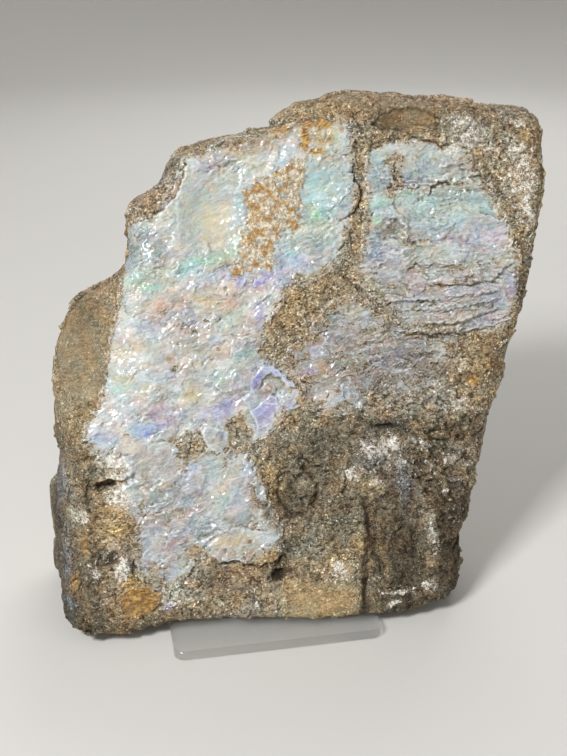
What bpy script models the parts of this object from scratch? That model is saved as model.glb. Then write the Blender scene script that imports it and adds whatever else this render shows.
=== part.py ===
"""Boulder opal leaning on a small clear acrylic stand.

The stone is a thick slab of brown ironstone whose broad face is a seam of precious
opal. It leans back on a stand of two clear acrylic sheets that are cemented together:
a flat base plate and a back rest.

All sizes below are in millimetres, and MM turns them into Blender's metres. +Z is up,
the opal face looks along -Y, and the origin is the centre of the base plate's underside.

The stone is drawn in the frame of its own face: u runs across to the right, v runs up
the face, and w stands out of the face towards the viewer. The face leans back by LEAN.
"""

import math

import bmesh
import bpy
from mathutils import Matrix, Vector

MM = 0.001
COLLECTION_NAME = "boulder_opal"
CUTTER_COLLECTION_NAME = "cutters"

# Stand
SHEET_THICKNESS = 3.0
PLATE_WIDTH = 60.0
PLATE_DEPTH = 90.0
PLATE_CORNER_RADIUS = 3.0
REST_WIDTH = 60.0
REST_HEIGHT = 64.0
REST_CORNER_RADIUS = 6.0
SHEET_EDGE_BEVEL = 0.35
CORNER_SEGMENTS = 6

# Stone
LEAN = math.radians(20.0)
FACE_FOOT_Y = -32.0
STONE_DEPTH = 45.0
TOUCH_GAP = 0.3
FACE_CENTRE = (14.0, 72.0)
OUTLINE_STEPS = 4
FACE_RINGS = (0.12, 0.3, 0.48, 0.64, 0.78, 0.9)
BACK_RINGS = (0.85, 0.6, 0.3)

# The rings between the widest outline and the two borders: the share of the inset, and
# the share of the way from the outline's w to the border's.
SHOULDER = (0.3, 0.7)
HAUNCH = (0.35, 0.7)
BACK_BORDER_RISE = 2.0

# The widest outline, clockwise from the top left as seen from the front. Each row is
# u, v, w, then how far the front border and the back border sit inside that outline.
OUTLINE = (
    (-34.0, 118.0, -9.0, 7.0, 9.0),
    (-29.0, 124.0, -9.0, 7.0, 9.0),
    (-23.0, 129.0, -9.0, 8.0, 10.0),
    (-16.0, 136.0, -9.0, 5.0, 10.0),
    (-4.0, 139.6, -9.0, 3.0, 11.0),
    (8.4, 141.4, -9.0, 3.0, 12.0),
    (13.4, 144.6, -9.0, 4.0, 12.0),
    (18.8, 147.4, -9.0, 4.0, 11.0),
    (23.4, 147.8, -9.0, 4.0, 10.0),
    (27.0, 149.9, -9.0, 4.0, 9.0),
    (34.0, 151.0, -9.0, 5.0, 8.0),
    (50.0, 149.6, -9.0, 5.0, 8.0),
    (68.0, 146.7, -9.0, 5.0, 9.0),
    (84.0, 145.0, -9.0, 5.0, 9.0),
    (90.2, 142.8, -9.0, 5.0, 9.0),
    (92.2, 136.5, -9.0, 5.0, 9.0),
    (91.6, 118.0, -10.0, 5.0, 9.0),
    (88.4, 102.0, -10.0, 4.0, 10.0),
    (83.6, 84.0, -10.0, 4.0, 10.0),
    (77.4, 67.0, -10.0, 4.0, 11.0),
    (70.2, 48.0, -11.0, 5.0, 10.0),
    (66.6, 32.0, -12.0, 6.0, 9.0),
    (61.4, 20.0, -13.0, 6.0, 9.0),
    (60.2, 10.0, -13.0, 6.0, 9.0),
    (58.6, 3.4, -8.0, 5.0, 10.0),
    (52.6, -0.8, -2.0, 3.0, 10.0),
    (40.0, -3.0, 4.0, 1.5, 8.0),
    (25.0, -3.2, 6.0, 1.5, 6.0),
    (5.0, -1.8, 3.0, 2.0, 5.0),
    (-20.0, -0.4, -1.0, 2.0, 5.0),
    (-45.0, -1.2, 0.0, 1.5, 5.0),
    (-56.0, -0.4, -1.0, 3.0, 6.0),
    (-60.0, 7.0, -12.0, 9.0, 6.0),
    (-62.0, 18.0, -26.0, 11.0, 5.0),
    (-62.2, 33.0, -29.0, 11.0, 5.0),
    (-58.2, 50.0, -26.0, 6.0, 6.0),
    (-58.0, 66.0, -19.0, 3.0, 7.0),
    (-57.6, 81.0, -16.0, 3.0, 8.0),
    (-53.5, 91.5, -14.0, 3.0, 9.0),
    (-46.0, 97.6, -14.0, 3.0, 9.0),
    (-37.2, 101.4, -14.0, 3.0, 8.0),
    (-34.0, 109.0, -9.0, 3.0, 8.0),
)

# Left of this line, top to bottom, the opal seam has split away and leaves a lower step.
SPLIT_LINE = ((-35.5, 104.0), (-38.0, 91.0), (-41.0, 81.0), (-43.0, 71.0), (-46.5, 64.0), (-51.5, 57.0))
SPLIT_DROP = 7.5
SPLIT_SOFTNESS = 1.0
SPLIT_FADE = (48.0, 72.0)

# Broad swells and hollows of the face: u, v, half width, half height, rise.
SWELLS = (
    (30.0, -2.0, 44.0, 30.0, 8.0),
    (-50.0, -2.0, 12.0, 16.0, 3.4),
    (36.0, 21.0, 8.0, 15.0, -4.6),
    (47.5, 16.0, 5.0, 18.0, 1.5),
    (13.0, 40.0, 13.0, 13.0, -3.2),
    (36.0, 47.0, 9.0, 5.0, -2.2),
    (3.0, 12.5, 5.0, 3.0, -3.5),
    (-45.0, 42.0, 4.5, 2.0, -3.0),
    (50.0, 147.0, 44.0, 9.0, 2.6),
    (90.0, 128.0, 8.0, 24.0, 1.6),
    (28.0, 103.0, 7.0, 14.0, 1.2),
    (8.0, 84.0, 9.0, 9.0, 1.8),
    (-10.0, 112.0, 12.0, 13.0, -1.6),
    (48.0, 112.0, 12.0, 12.0, -1.4),
    (62.0, 86.0, 20.0, 4.0, 1.4),
    (62.0, 74.0, 18.0, 4.0, -1.4),
    (-30.0, 70.0, 14.0, 14.0, 1.6),
)

# Broad swells of the back: height, then the lengths in u and v over which they turn.
BACK_WAVE = (1.6, 19.0, 23.0)
BACK_ROLL = (1.2, 31.0, 13.0)
BACK_WAVE_START = 0.6
BACK_LEVEL = 1.0

# Rock surface: texture, size of its features and its full height.
ROCK_TEXTURES = (
    ("rock_lumps", "CLOUDS", 17.0, 2.6),
    ("rock_breaks", "VORONOI", 13.0, 2.0),
)
REMESH_SIZE = 2.1
STONE_TRIANGLES = 8600

# Half the size of the blocks that flatten the stone where it touches the stand, and the
# height of the block that mitres the back rest.
FLAT_CUTTER_HALF = 150.0
MITRE_CUTTER_HEIGHT = 40.0


def clear_scene():
    """Remove every object that is already in the scene."""
    for item in list(bpy.data.objects):
        bpy.data.objects.remove(item, do_unlink=True)


def make_collection(name):
    """Return a new collection linked under the scene's own."""
    collection = bpy.data.collections.new(name)
    bpy.context.scene.collection.children.link(collection)
    return collection


def make_material(name, colour, roughness, transmission=0.0, ior=1.5):
    """Return a plain Principled material."""
    material = bpy.data.materials.new(name)
    material.use_nodes = True
    shader = material.node_tree.nodes["Principled BSDF"]
    shader.inputs["Base Color"].default_value = (*colour, 1.0)
    shader.inputs["Metallic"].default_value = 0.0
    shader.inputs["Roughness"].default_value = roughness
    shader.inputs["Transmission Weight"].default_value = transmission
    shader.inputs["IOR"].default_value = ior
    return material


def face_to_world(u, v, w):
    """Turn a point of the face's frame, in millimetres, into the world, in metres."""
    y = FACE_FOOT_Y + v * math.sin(LEAN) - w * math.cos(LEAN)
    z = SHEET_THICKNESS + TOUCH_GAP + v * math.cos(LEAN) + w * math.sin(LEAN)
    return Vector((u, y, z)) * MM


def smooth_step(low, high, value):
    """Rise smoothly from 0 at low to 1 at high."""
    t = min(max((value - low) / (high - low), 0.0), 1.0)
    return t * t * (3.0 - 2.0 * t)


def split_line_u(v):
    """Return the split line's u at height v."""
    if v >= SPLIT_LINE[0][1]:
        return SPLIT_LINE[0][0]
    for (u_top, v_top), (u_low, v_low) in zip(SPLIT_LINE, SPLIT_LINE[1:]):
        if v >= v_low:
            return u_low + (u_top - u_low) * (v - v_low) / (v_top - v_low)
    return SPLIT_LINE[-1][0]


def face_height(u, v):
    """Return how far the face stands out at (u, v)."""
    height = 0.0
    for centre_u, centre_v, half_u, half_v, rise in SWELLS:
        distance = ((u - centre_u) / half_u) ** 2 + ((v - centre_v) / half_v) ** 2
        height += rise * math.exp(-distance)
    left = split_line_u(v) - u
    drop = smooth_step(-SPLIT_SOFTNESS, SPLIT_SOFTNESS, left) * smooth_step(*SPLIT_FADE, v)
    return height - SPLIT_DROP * drop


def back_height(u, v):
    """Return where the rough back lies at (u, v)."""
    wave, wave_u, wave_v = BACK_WAVE
    roll, roll_u, roll_v = BACK_ROLL
    swell = wave * math.sin(u / wave_u + BACK_WAVE_START) * math.cos(v / wave_v)
    swell += roll * math.sin(v / roll_v + u / roll_u)
    return -STONE_DEPTH + BACK_LEVEL + swell


def catmull_rom(before, start, end, after, t):
    """Interpolate between two rows of numbers, with their neighbours as guides."""
    row = []
    for a, b, c, d in zip(before, start, end, after):
        cubic = -a + 3.0 * b - 3.0 * c + d
        square = 2.0 * a - 5.0 * b + 4.0 * c - d
        row.append(0.5 * (2.0 * b + (c - a) * t + square * t * t + cubic * t ** 3))
    return row


def fine_outline():
    """Return the outline's rows with OUTLINE_STEPS points between its own."""
    count = len(OUTLINE)
    rows = []
    for i in range(count):
        guides = [OUTLINE[(i + k) % count] for k in (-1, 0, 1, 2)]
        rows += [catmull_rom(*guides, step / OUTLINE_STEPS) for step in range(OUTLINE_STEPS)]
    return rows


def inward(rows, index):
    """Return the unit direction in the face's plane that points into the outline."""
    u_before, v_before = rows[index - 1][:2]
    u_after, v_after = rows[(index + 1) % len(rows)][:2]
    along = Vector((u_after - u_before, v_after - v_before)).normalized()
    return Vector((along.y, -along.x))


def stone_rings():
    """Return the loft's rings from the middle of the face to the middle of the back."""
    rows = fine_outline()
    centre = Vector(FACE_CENTRE)
    fronts, shoulders, girth, haunches, backs = [], [], [], [], []
    for index, (u, v, w, front_inset, back_inset) in enumerate(rows):
        edge = Vector((u, v))
        into = inward(rows, index)
        front = edge + into * front_inset
        back = edge + into * back_inset
        front_w = face_height(*front)
        back_w = back_height(*back) + BACK_BORDER_RISE
        shoulder = edge + into * front_inset * SHOULDER[0]
        haunch = edge + into * back_inset * HAUNCH[0]
        fronts.append((*front, front_w))
        shoulders.append((*shoulder, w + (front_w - w) * SHOULDER[1]))
        girth.append((u, v, w))
        haunches.append((*haunch, w + (back_w - w) * HAUNCH[1]))
        backs.append((*back, back_w))

    rings = []
    for share in FACE_RINGS:
        spots = [centre + (Vector(point[:2]) - centre) * share for point in fronts]
        rings.append([(*spot, face_height(*spot)) for spot in spots])
    rings += [fronts, shoulders, girth, haunches, backs]
    for share in BACK_RINGS:
        spots = [centre + (Vector(point[:2]) - centre) * share for point in backs]
        rings.append([(*spot, back_height(*spot)) for spot in spots])
    return rings


def loft(name, rings, front_tip, back_tip):
    """Skin a closed solid over the rings, with a fan at each end."""
    mesh = bmesh.new()
    layers = [[mesh.verts.new(face_to_world(*point)) for point in ring] for ring in rings]
    first = mesh.verts.new(face_to_world(*front_tip))
    last = mesh.verts.new(face_to_world(*back_tip))
    count = len(rings[0])
    for i in range(count):
        j = (i + 1) % count
        mesh.faces.new((first, layers[0][j], layers[0][i]))
        mesh.faces.new((last, layers[-1][i], layers[-1][j]))
        for near, far in zip(layers, layers[1:]):
            mesh.faces.new((near[i], near[j], far[j], far[i]))
    bmesh.ops.recalc_face_normals(mesh, faces=mesh.faces)
    data = bpy.data.meshes.new(name)
    mesh.to_mesh(data)
    mesh.free()
    return bpy.data.objects.new(name, data)


def box(name, size, place):
    """Return a box of the given size, in millimetres, placed by a matrix."""
    bpy.ops.mesh.primitive_cube_add(size=1.0)
    item = bpy.context.active_object
    item.name = name
    item.data.name = name
    item.data.transform(Matrix.Diagonal((*[side * MM for side in size], 1.0)))
    item.matrix_world = place
    return item


def move_to(item, collection):
    """Keep an object in one collection only."""
    for owner in list(item.users_collection):
        owner.objects.unlink(item)
    collection.objects.link(item)


def round_sheet_corners(item, axis, radius, only_upper=False):
    """Round the corners of a sheet whose thickness lies along one of its own axes."""
    mesh = bmesh.new()
    mesh.from_mesh(item.data)
    corners = []
    for edge in mesh.edges:
        along = (edge.verts[0].co - edge.verts[1].co).normalized()
        upper = edge.verts[0].co.z + edge.verts[1].co.z > 0.0
        if abs(along[axis]) > 0.99 and (upper or not only_upper):
            corners.append(edge)
    bmesh.ops.bevel(
        mesh, geom=corners, offset=radius * MM, segments=CORNER_SEGMENTS, profile=0.5, affect="EDGES"
    )
    mesh.to_mesh(item.data)
    mesh.free()


def soften_edges(item):
    """Give a sheet the small polished bevel of cut acrylic."""
    bevel = item.modifiers.new("polished_edge", "BEVEL")
    bevel.width = SHEET_EDGE_BEVEL * MM
    bevel.segments = 1
    bevel.limit_method = "ANGLE"
    bevel.angle_limit = math.radians(50.0)


def build_base_plate(collection, material):
    """The flat sheet that stands on the table."""
    place = Matrix.Translation(Vector((0.0, 0.0, SHEET_THICKNESS / 2.0)) * MM)
    plate = box("base_plate", (PLATE_WIDTH, PLATE_DEPTH, SHEET_THICKNESS), place)
    round_sheet_corners(plate, 2, PLATE_CORNER_RADIUS)
    soften_edges(plate)
    plate.data.materials.append(material)
    move_to(plate, collection)
    return plate


def rest_place():
    """Return the matrix of the back rest's plane: its Z runs up the rest, its Y to the rear."""
    behind = -(STONE_DEPTH + TOUCH_GAP)
    foot_v = -behind * math.tan(LEAN)
    foot = face_to_world(0.0, foot_v, behind)
    return Matrix.Translation(foot) @ Matrix.Rotation(-LEAN, 4, "X")


def build_back_rest(collection, cutters, material):
    """The leaning sheet that the stone's back lies against, mitred onto the base plate."""
    place = rest_place()
    skirt = SHEET_THICKNESS
    middle = Vector((0.0, SHEET_THICKNESS / 2.0, (REST_HEIGHT - skirt) / 2.0)) * MM
    size = (REST_WIDTH, SHEET_THICKNESS, REST_HEIGHT + skirt)
    rest = box("back_rest", size, place @ Matrix.Translation(middle))
    round_sheet_corners(rest, 1, REST_CORNER_RADIUS, only_upper=True)
    mitre_size = (PLATE_WIDTH * 2.0, PLATE_DEPTH * 2.0, MITRE_CUTTER_HEIGHT)
    mitre_middle = SHEET_THICKNESS + TOUCH_GAP - MITRE_CUTTER_HEIGHT / 2.0
    mitre_place = Matrix.Translation(Vector((0.0, 0.0, mitre_middle)) * MM)
    mitre = box("rest_mitre_cutter", mitre_size, mitre_place)
    as_cutter(mitre, cutters)
    cut(rest, mitre)
    soften_edges(rest)
    rest.data.materials.append(material)
    move_to(rest, collection)
    return rest


def as_cutter(item, cutters):
    """Mark an object as a guide that only cuts."""
    item.hide_render = True
    item.display_type = "WIRE"
    move_to(item, cutters)


def cut(item, cutter):
    """Take the cutter's volume out of an object."""
    boolean = item.modifiers.new(cutter.name, "BOOLEAN")
    boolean.operation = "DIFFERENCE"
    boolean.solver = "EXACT"
    boolean.object = cutter


def displace(item, name, kind, size, height):
    """Roughen an object with one of Blender's own procedural textures."""
    texture = bpy.data.textures.new(name, kind)
    texture.noise_scale = size * MM
    modifier = item.modifiers.new(name, "DISPLACE")
    modifier.texture = texture
    modifier.texture_coords = "LOCAL"
    modifier.strength = height * MM
    modifier.mid_level = 0.5


def thin_out(item, triangles):
    """Reduce an object's evaluated mesh to about the given number of triangles."""
    bpy.context.view_layer.update()
    evaluated = item.evaluated_get(bpy.context.evaluated_depsgraph_get())
    mesh = evaluated.to_mesh()
    present = sum(len(face.vertices) - 2 for face in mesh.polygons)
    evaluated.to_mesh_clear()
    decimate = item.modifiers.new("thin_out", "DECIMATE")
    decimate.ratio = triangles / present


def build_stone(collection, cutters, material):
    """The one-piece stone: a loft, roughened, and flattened where it touches the stand."""
    centre = FACE_CENTRE
    front_tip = (*centre, face_height(*centre))
    back_tip = (*centre, back_height(*centre))
    stone = loft("opal_stone", stone_rings(), front_tip, back_tip)
    collection.objects.link(stone)
    remesh = stone.modifiers.new("even_mesh", "REMESH")
    remesh.mode = "VOXEL"
    remesh.voxel_size = REMESH_SIZE * MM
    for name, kind, size, height in ROCK_TEXTURES:
        displace(stone, name, kind, size, height)
    thin_out(stone, STONE_TRIANGLES)

    half = FLAT_CUTTER_HALF
    bed_top = SHEET_THICKNESS + TOUCH_GAP
    bed_place = Matrix.Translation(Vector((0.0, 0.0, bed_top - half)) * MM)
    bed = box("bed_cutter", (half * 2.0, half * 2.0, half * 2.0), bed_place)
    as_cutter(bed, cutters)
    cut(stone, bed)
    back_place = rest_place() @ Matrix.Translation(Vector((0.0, half - TOUCH_GAP, 0.0)) * MM)
    back = box("back_cutter", (half * 2.0, half * 2.0, half * 4.0), back_place)
    as_cutter(back, cutters)
    cut(stone, back)
    stone.data.materials.append(material)
    return stone


def main():
    """Build the stone and its stand."""
    clear_scene()
    parts = make_collection(COLLECTION_NAME)
    cutters = make_collection(CUTTER_COLLECTION_NAME)
    stone = make_material("opal_in_ironstone", (0.42, 0.36, 0.28), 0.45)
    plate = make_material("clear_acrylic_plate", (0.9, 0.93, 0.94), 0.05, 1.0, 1.49)
    rest = make_material("clear_acrylic_rest", (0.9, 0.93, 0.94), 0.05, 1.0, 1.49)
    build_base_plate(parts, plate)
    build_back_rest(parts, cutters, rest)
    build_stone(parts, cutters, stone)


main()
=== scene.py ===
"""Looks of a boulder opal that leans back on a small clear acrylic stand.

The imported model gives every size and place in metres. Inside this file the stone is
handled in millimetres in the frame of its own leaning face: u runs to the right, v runs
up the face and w stands out of it. The stone's fine surface grows from its CAD solid.
"""

import logging
import math
from collections.abc import Sequence
from dataclasses import dataclass, field
from enum import Enum
from functools import cached_property

import bmesh
import bpy
import numpy as np
from mathutils import Matrix, Vector
from mathutils.bvhtree import BVHTree

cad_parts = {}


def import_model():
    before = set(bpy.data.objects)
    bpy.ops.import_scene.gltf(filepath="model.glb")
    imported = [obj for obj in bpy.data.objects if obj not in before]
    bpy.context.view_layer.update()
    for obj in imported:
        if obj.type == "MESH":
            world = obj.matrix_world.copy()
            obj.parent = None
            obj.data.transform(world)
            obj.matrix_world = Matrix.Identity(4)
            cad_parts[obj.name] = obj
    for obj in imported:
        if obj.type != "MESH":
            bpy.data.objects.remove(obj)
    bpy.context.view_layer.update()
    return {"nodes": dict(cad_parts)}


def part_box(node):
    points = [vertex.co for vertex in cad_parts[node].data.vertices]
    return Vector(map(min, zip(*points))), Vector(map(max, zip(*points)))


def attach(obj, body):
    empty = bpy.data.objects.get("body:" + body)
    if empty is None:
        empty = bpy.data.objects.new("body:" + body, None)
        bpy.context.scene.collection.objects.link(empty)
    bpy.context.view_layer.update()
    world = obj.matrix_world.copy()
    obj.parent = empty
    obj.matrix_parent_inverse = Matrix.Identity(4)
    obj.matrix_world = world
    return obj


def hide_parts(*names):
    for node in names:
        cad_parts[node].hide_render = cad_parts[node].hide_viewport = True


LOG = logging.getLogger("boulder_opal")
MM = 0.001
FAR = 1e9

Point = tuple[float, float]
Patches = tuple[tuple[float, float, float, float, float], ...]
Array = np.ndarray
Socket = bpy.types.NodeSocket
Value = Socket | float | str | tuple[float, ...]


# ------------------------ small helpers


def linear(colour: str) -> tuple[float, float, float, float]:
    """Turn an sRGB hex value into a linear colour.

    Args:
        colour: Six hex digits after a hash sign.

    Returns:
        Linear red, green, blue and an alpha of 1.
    """
    parts = [int(colour[i:i + 2], 16) / 255.0 for i in (1, 3, 5)]
    linear_parts = [c / 12.92 if c <= 0.04045 else ((c + 0.055) / 1.055) ** 2.4 for c in parts]
    return (*linear_parts, 1.0)


def add_node(tree: bpy.types.NodeTree, kind: str, settings: dict | None = None,
             inputs: dict | None = None) -> bpy.types.Node:
    """Add one node with its settings, values and incoming links.

    Args:
        tree: The node tree to add to.
        kind: Blender's type name of the node.
        settings: Attribute names and their values.
        inputs: Socket names or numbers, each with a value or with the socket to link from.

    Returns:
        The new node.
    """
    node = tree.nodes.new(kind)
    for name, value in (settings or {}).items():
        setattr(node, name, value)
    for key, value in (inputs or {}).items():
        socket = node.inputs[key]
        if isinstance(value, Socket):
            tree.links.new(value, socket)
        else:
            socket.default_value = value
    return node


def add_object(name: str, data: bpy.types.ID) -> bpy.types.Object:
    """Make an object of the data and put it into the scene."""
    item = bpy.data.objects.new(name, data)
    bpy.context.scene.collection.objects.link(item)
    return item


def evaluated_mesh(item: bpy.types.Object) -> bpy.types.Mesh:
    """Return a new mesh of the object as its modifiers leave it."""
    bpy.context.view_layer.update()
    return bpy.data.meshes.new_from_object(item.evaluated_get(bpy.context.evaluated_depsgraph_get()))


def read_rows(items: bpy.types.bpy_prop_collection, name: str, width: int, kind: type = float) -> Array:
    """Read one value of every item into a row of an array."""
    values = np.empty(len(items) * width, kind)
    items.foreach_get(name, values)
    return values.reshape(-1, width)


def smooth_step(low: float, high: float, value: Array) -> Array:
    """Rise smoothly from 0 at low to 1 at high."""
    t = np.clip((value - low) / (high - low), 0.0, 1.0)
    return t * t * (3.0 - 2.0 * t)


# ------------------------ noise


class Noise:
    """Repeatable noise over points given in millimetres."""

    GAIN = 1.4
    LAYERED_GAIN = 1.5
    PRIMES = (73856093, 19349663, 83492791)
    GRADIENTS = np.array([
        (1, 1, 0), (-1, 1, 0), (1, -1, 0), (-1, -1, 0), (1, 0, 1), (-1, 0, 1), (1, 0, -1), (-1, 0, -1),
        (0, 1, 1), (0, -1, 1), (0, 1, -1), (0, -1, -1), (1, 1, 0), (-1, 1, 0), (0, -1, 1), (0, -1, -1),
    ], float)

    def __init__(self, seed: int) -> None:
        """Keep the seed that sets one field of noise apart from another."""
        self.seed = seed

    def scatter(self, cells: Array, salt: int = 0) -> Array:
        """Give each whole-number cell its own number from 0 to 1.

        Args:
            cells: Whole numbers, one row a cell.
            salt: Picks one of many such sets of numbers.

        Returns:
            One number for each row.
        """
        key = np.full(len(cells), (self.seed * 2654435761 + salt * 40503) % 2 ** 32, np.uint32)
        for axis in range(cells.shape[1]):
            key ^= (cells[:, axis] * self.PRIMES[axis] % 2 ** 32).astype(np.uint32)
            key = (key << np.uint32(7)) | (key >> np.uint32(25))
        for shift, factor in ((16, 0x7FEB352D), (15, 0x846CA68B)):
            key ^= key >> np.uint32(shift)
            key = key * np.uint32(factor)
        key ^= key >> np.uint32(16)
        return key / 2.0 ** 32

    def smooth(self, points: Array, size: float, salt: int = 0) -> Array:
        """Return gradient noise, about -1 to 1, whose features are about size wide."""
        scaled = points / size
        cell = np.floor(scaled).astype(np.int64)
        part = scaled - cell
        fade = part ** 3 * (part * (part * 6.0 - 15.0) + 10.0)
        total = np.zeros(len(points))
        for corner in np.ndindex(2, 2, 2):
            near = np.array(corner)
            key = self.scatter(cell + near, salt)
            slope = self.GRADIENTS[(key * 16.0).astype(np.int64)]
            rise = np.einsum("ij,ij->i", part - near, slope)
            share = np.where(near, fade, 1.0 - fade)
            total += rise * share[:, 0] * share[:, 1] * share[:, 2]
        return total * self.GAIN

    def layered(self, points: Array, size: float, octaves: int, salt: int = 0) -> Array:
        """Sum octaves of smooth noise, each half as large and half as strong."""
        total = np.zeros(len(points))
        for octave in range(octaves):
            total += self.smooth(points, size / 2.0 ** octave, salt + 31 * octave) / 2.0 ** octave
        return total / self.LAYERED_GAIN

    def drift(self, points: Array, size: float, octaves: int, *salts: int) -> Array:
        """Return one column of layered noise for each salt."""
        return np.stack([self.layered(points, size, octaves, salt) for salt in salts], 1)

    def creased(self, points: Array, size: float, octaves: int, salt: int = 0) -> Array:
        """Return noise from 0 to 1 with thin crests near 1, like crumpled edges."""
        total = np.zeros(len(points))
        weight = 0.0
        for octave in range(octaves):
            share = 0.6 ** octave
            wave = self.smooth(points, size / 2.0 ** octave, salt + 17 * octave)
            total += share * (1.0 - np.abs(wave)) ** 2
            weight += share
        return total / weight

    def cells(self, spots: Array, size: float, salt: int = 0) -> dict[str, Array]:
        """Sort points of a plane or of space into irregular cells.

        Args:
            spots: Points, one row each.
            size: The cells' usual width.
            salt: Picks one of many such patterns.

        Returns:
            The offset from the cell's seed, the distances to the nearest and the next
            seed, and four random numbers that the whole cell shares.
        """
        count, axes = spots.shape
        scaled = spots / size
        base = np.floor(scaled).astype(np.int64)
        best = np.full(count, FAR)
        second = np.full(count, FAR)
        offset = np.zeros((count, axes))
        winner = base.copy()
        for step in np.ndindex(*(3,) * axes):
            cell = base + (np.array(step) - 1)
            seed = cell + np.stack([self.scatter(cell, salt + axis) for axis in range(axes)], 1)
            away = scaled - seed
            reach = np.sqrt((away * away).sum(1))
            nearer = reach < best
            second = np.where(nearer, best, np.minimum(second, reach))
            best = np.where(nearer, reach, best)
            offset[nearer] = away[nearer]
            winner[nearer] = cell[nearer]
        own = np.stack([self.scatter(winner, salt + 10 + k) for k in range(4)], 1)
        return {"offset": offset * size, "near": best * size, "next": second * size, "own": own}

    def flakes(self, spots: Array, size: float, tilt: float, step: float, dish: float,
               salt: int = 0) -> tuple[Array, Array, Array]:
        """Return shell-like flakes that meet in sharp edges.

        Args:
            spots: Points of a plane or of space.
            size: The flakes' usual width.
            tilt: The steepest slope of a flake.
            step: How far a flake stands above or below its neighbours.
            dish: How deep a flake is hollowed.
            salt: Picks the pattern.

        Returns:
            The height, a line from 0 to 1 along the flakes' edges, and each flake's own
            three numbers from -0.5 to 0.5.
        """
        cells = self.cells(spots, size, salt)
        own = cells["own"] - 0.5
        axes = spots.shape[1]
        slope = (cells["offset"] * own[:, :axes]).sum(1) * 2.0 * tilt
        height = slope + step * 2.0 * own[:, 3] + dish * (cells["near"] / size) ** 2
        border = (cells["next"] - cells["near"]) / size
        return height, 1.0 - smooth_step(0.0, 0.12, border), own[:, :3]


# ------------------------ the face's frame


@dataclass(frozen=True)
class FaceFrame:
    """The leaning frame of the stone's face, in millimetres, and its way to the world."""

    lean: float = math.radians(20.0)
    foot_y: float = -32.0
    foot_z: float = 3.3

    def to_world(self) -> Matrix:
        """Return the matrix from the face's millimetres to the world's metres."""
        sin, cos = math.sin(self.lean), math.cos(self.lean)
        turn = Matrix(((1.0, 0.0, 0.0, 0.0),
                       (0.0, sin, -cos, self.foot_y),
                       (0.0, cos, sin, self.foot_z),
                       (0.0, 0.0, 0.0, 1.0)))
        return Matrix.Scale(MM, 4) @ turn

    def points_to_world(self, points: Array) -> Array:
        """Turn rows of u, v, w into rows of x, y, z in metres."""
        matrix = np.array(self.to_world())
        return points @ matrix[:3, :3].T + matrix[:3, 3]

    def points_to_face(self, points: Array) -> Array:
        """Turn rows of x, y, z in metres into rows of u, v, w."""
        matrix = np.array(self.to_world().inverted())
        return points @ matrix[:3, :3].T + matrix[:3, 3]


# ------------------------ drawing on the face


def segment_reach(spots: Array, start: Point, end: Point) -> tuple[Array, Array, Array]:
    """Measure flat points against one straight stretch.

    Args:
        spots: Points in the face's plane.
        start: Where the stretch starts.
        end: Where it ends.

    Returns:
        The distance, the share of the way along, and the side, positive on the left.
    """
    a, b = np.array(start), np.array(end)
    along = b - a
    away = spots - a
    share = np.clip(away @ along / (along @ along), 0.0, 1.0)
    gap = away - share[:, None] * along
    side = along[0] * away[:, 1] - along[1] * away[:, 0]
    return np.hypot(gap[:, 0], gap[:, 1]), share, np.sign(side)


@dataclass(frozen=True)
class Zone:
    """A closed region of the face, drawn through listed points.

    Broken is how many millimetres noise eats into it.
    """

    points: tuple[Point, ...]
    broken: float = 0.0

    def depth(self, spots: Array) -> Array:
        """Return the distance to the zone's edge, positive inside."""
        nearest = np.full(len(spots), FAR)
        crossings = np.zeros(len(spots), bool)
        for start, end in zip(self.points, self.points[1:] + self.points[:1]):
            reach, _, _ = segment_reach(spots, start, end)
            nearest = np.minimum(nearest, reach)
            spans = (spots[:, 1] < start[1]) != (spots[:, 1] < end[1])
            rise = end[1] - start[1] if end[1] != start[1] else 1.0
            crossing_u = start[0] + (spots[:, 1] - start[1]) * (end[0] - start[0]) / rise
            crossings ^= spans & (spots[:, 0] < crossing_u)
        return np.where(crossings, nearest, -nearest)


def depth_in(zones: Sequence[Zone], spots: Array) -> Array:
    """Return how deep the spots lie inside the zones, negative outside all of them."""
    return np.max([zone.depth(spots) for zone in zones], axis=0)


@dataclass(frozen=True)
class Spot:
    """A soft oval on the face: its middle, half sizes, strength and turn in degrees."""

    u: float
    v: float
    half_u: float
    half_v: float
    strength: float = 1.0
    turn: float = 0.0

    def distance(self, spots: Array) -> Array:
        """Return 0 at the middle and 1 on the oval's edge."""
        angle = math.radians(self.turn)
        du, dv = spots[:, 0] - self.u, spots[:, 1] - self.v
        along = du * math.cos(angle) + dv * math.sin(angle)
        across = dv * math.cos(angle) - du * math.sin(angle)
        return np.hypot(along / self.half_u, across / self.half_v)

    def near(self, spots: Array, reach: float = 2.2) -> Array:
        """Pick the points within reach times the oval's larger half."""
        far = reach * max(self.half_u, self.half_v)
        return np.nonzero((np.abs(spots[:, 0] - self.u) < far) & (np.abs(spots[:, 1] - self.v) < far))[0]

    def cover(self, spots: Array) -> Array:
        """Return a cover that fades softly past the oval's edge."""
        return self.strength * np.exp(-self.distance(spots) ** 2 * 1.1)


def ovals(*rows: tuple[float, ...]) -> tuple[Spot, ...]:
    """Return one oval for each row of its values."""
    return tuple(Spot(*row) for row in rows)


def cover_of(patches: Patches, points: Array) -> Array:
    """Join flat-topped patches of the face, each a middle, two half sizes and a strength."""
    u, v = points[:, 0], points[:, 1]
    return sum(strength * np.exp(-((u - middle_u) / half_u) ** 4 - ((v - middle_v) / half_v) ** 4)
               for middle_u, middle_v, half_u, half_v, strength in patches)


class LineKind(Enum):
    """What a line does to the surface."""

    CRACK = "crack"
    RIDGE = "ridge"
    LEDGE = "ledge"


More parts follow.
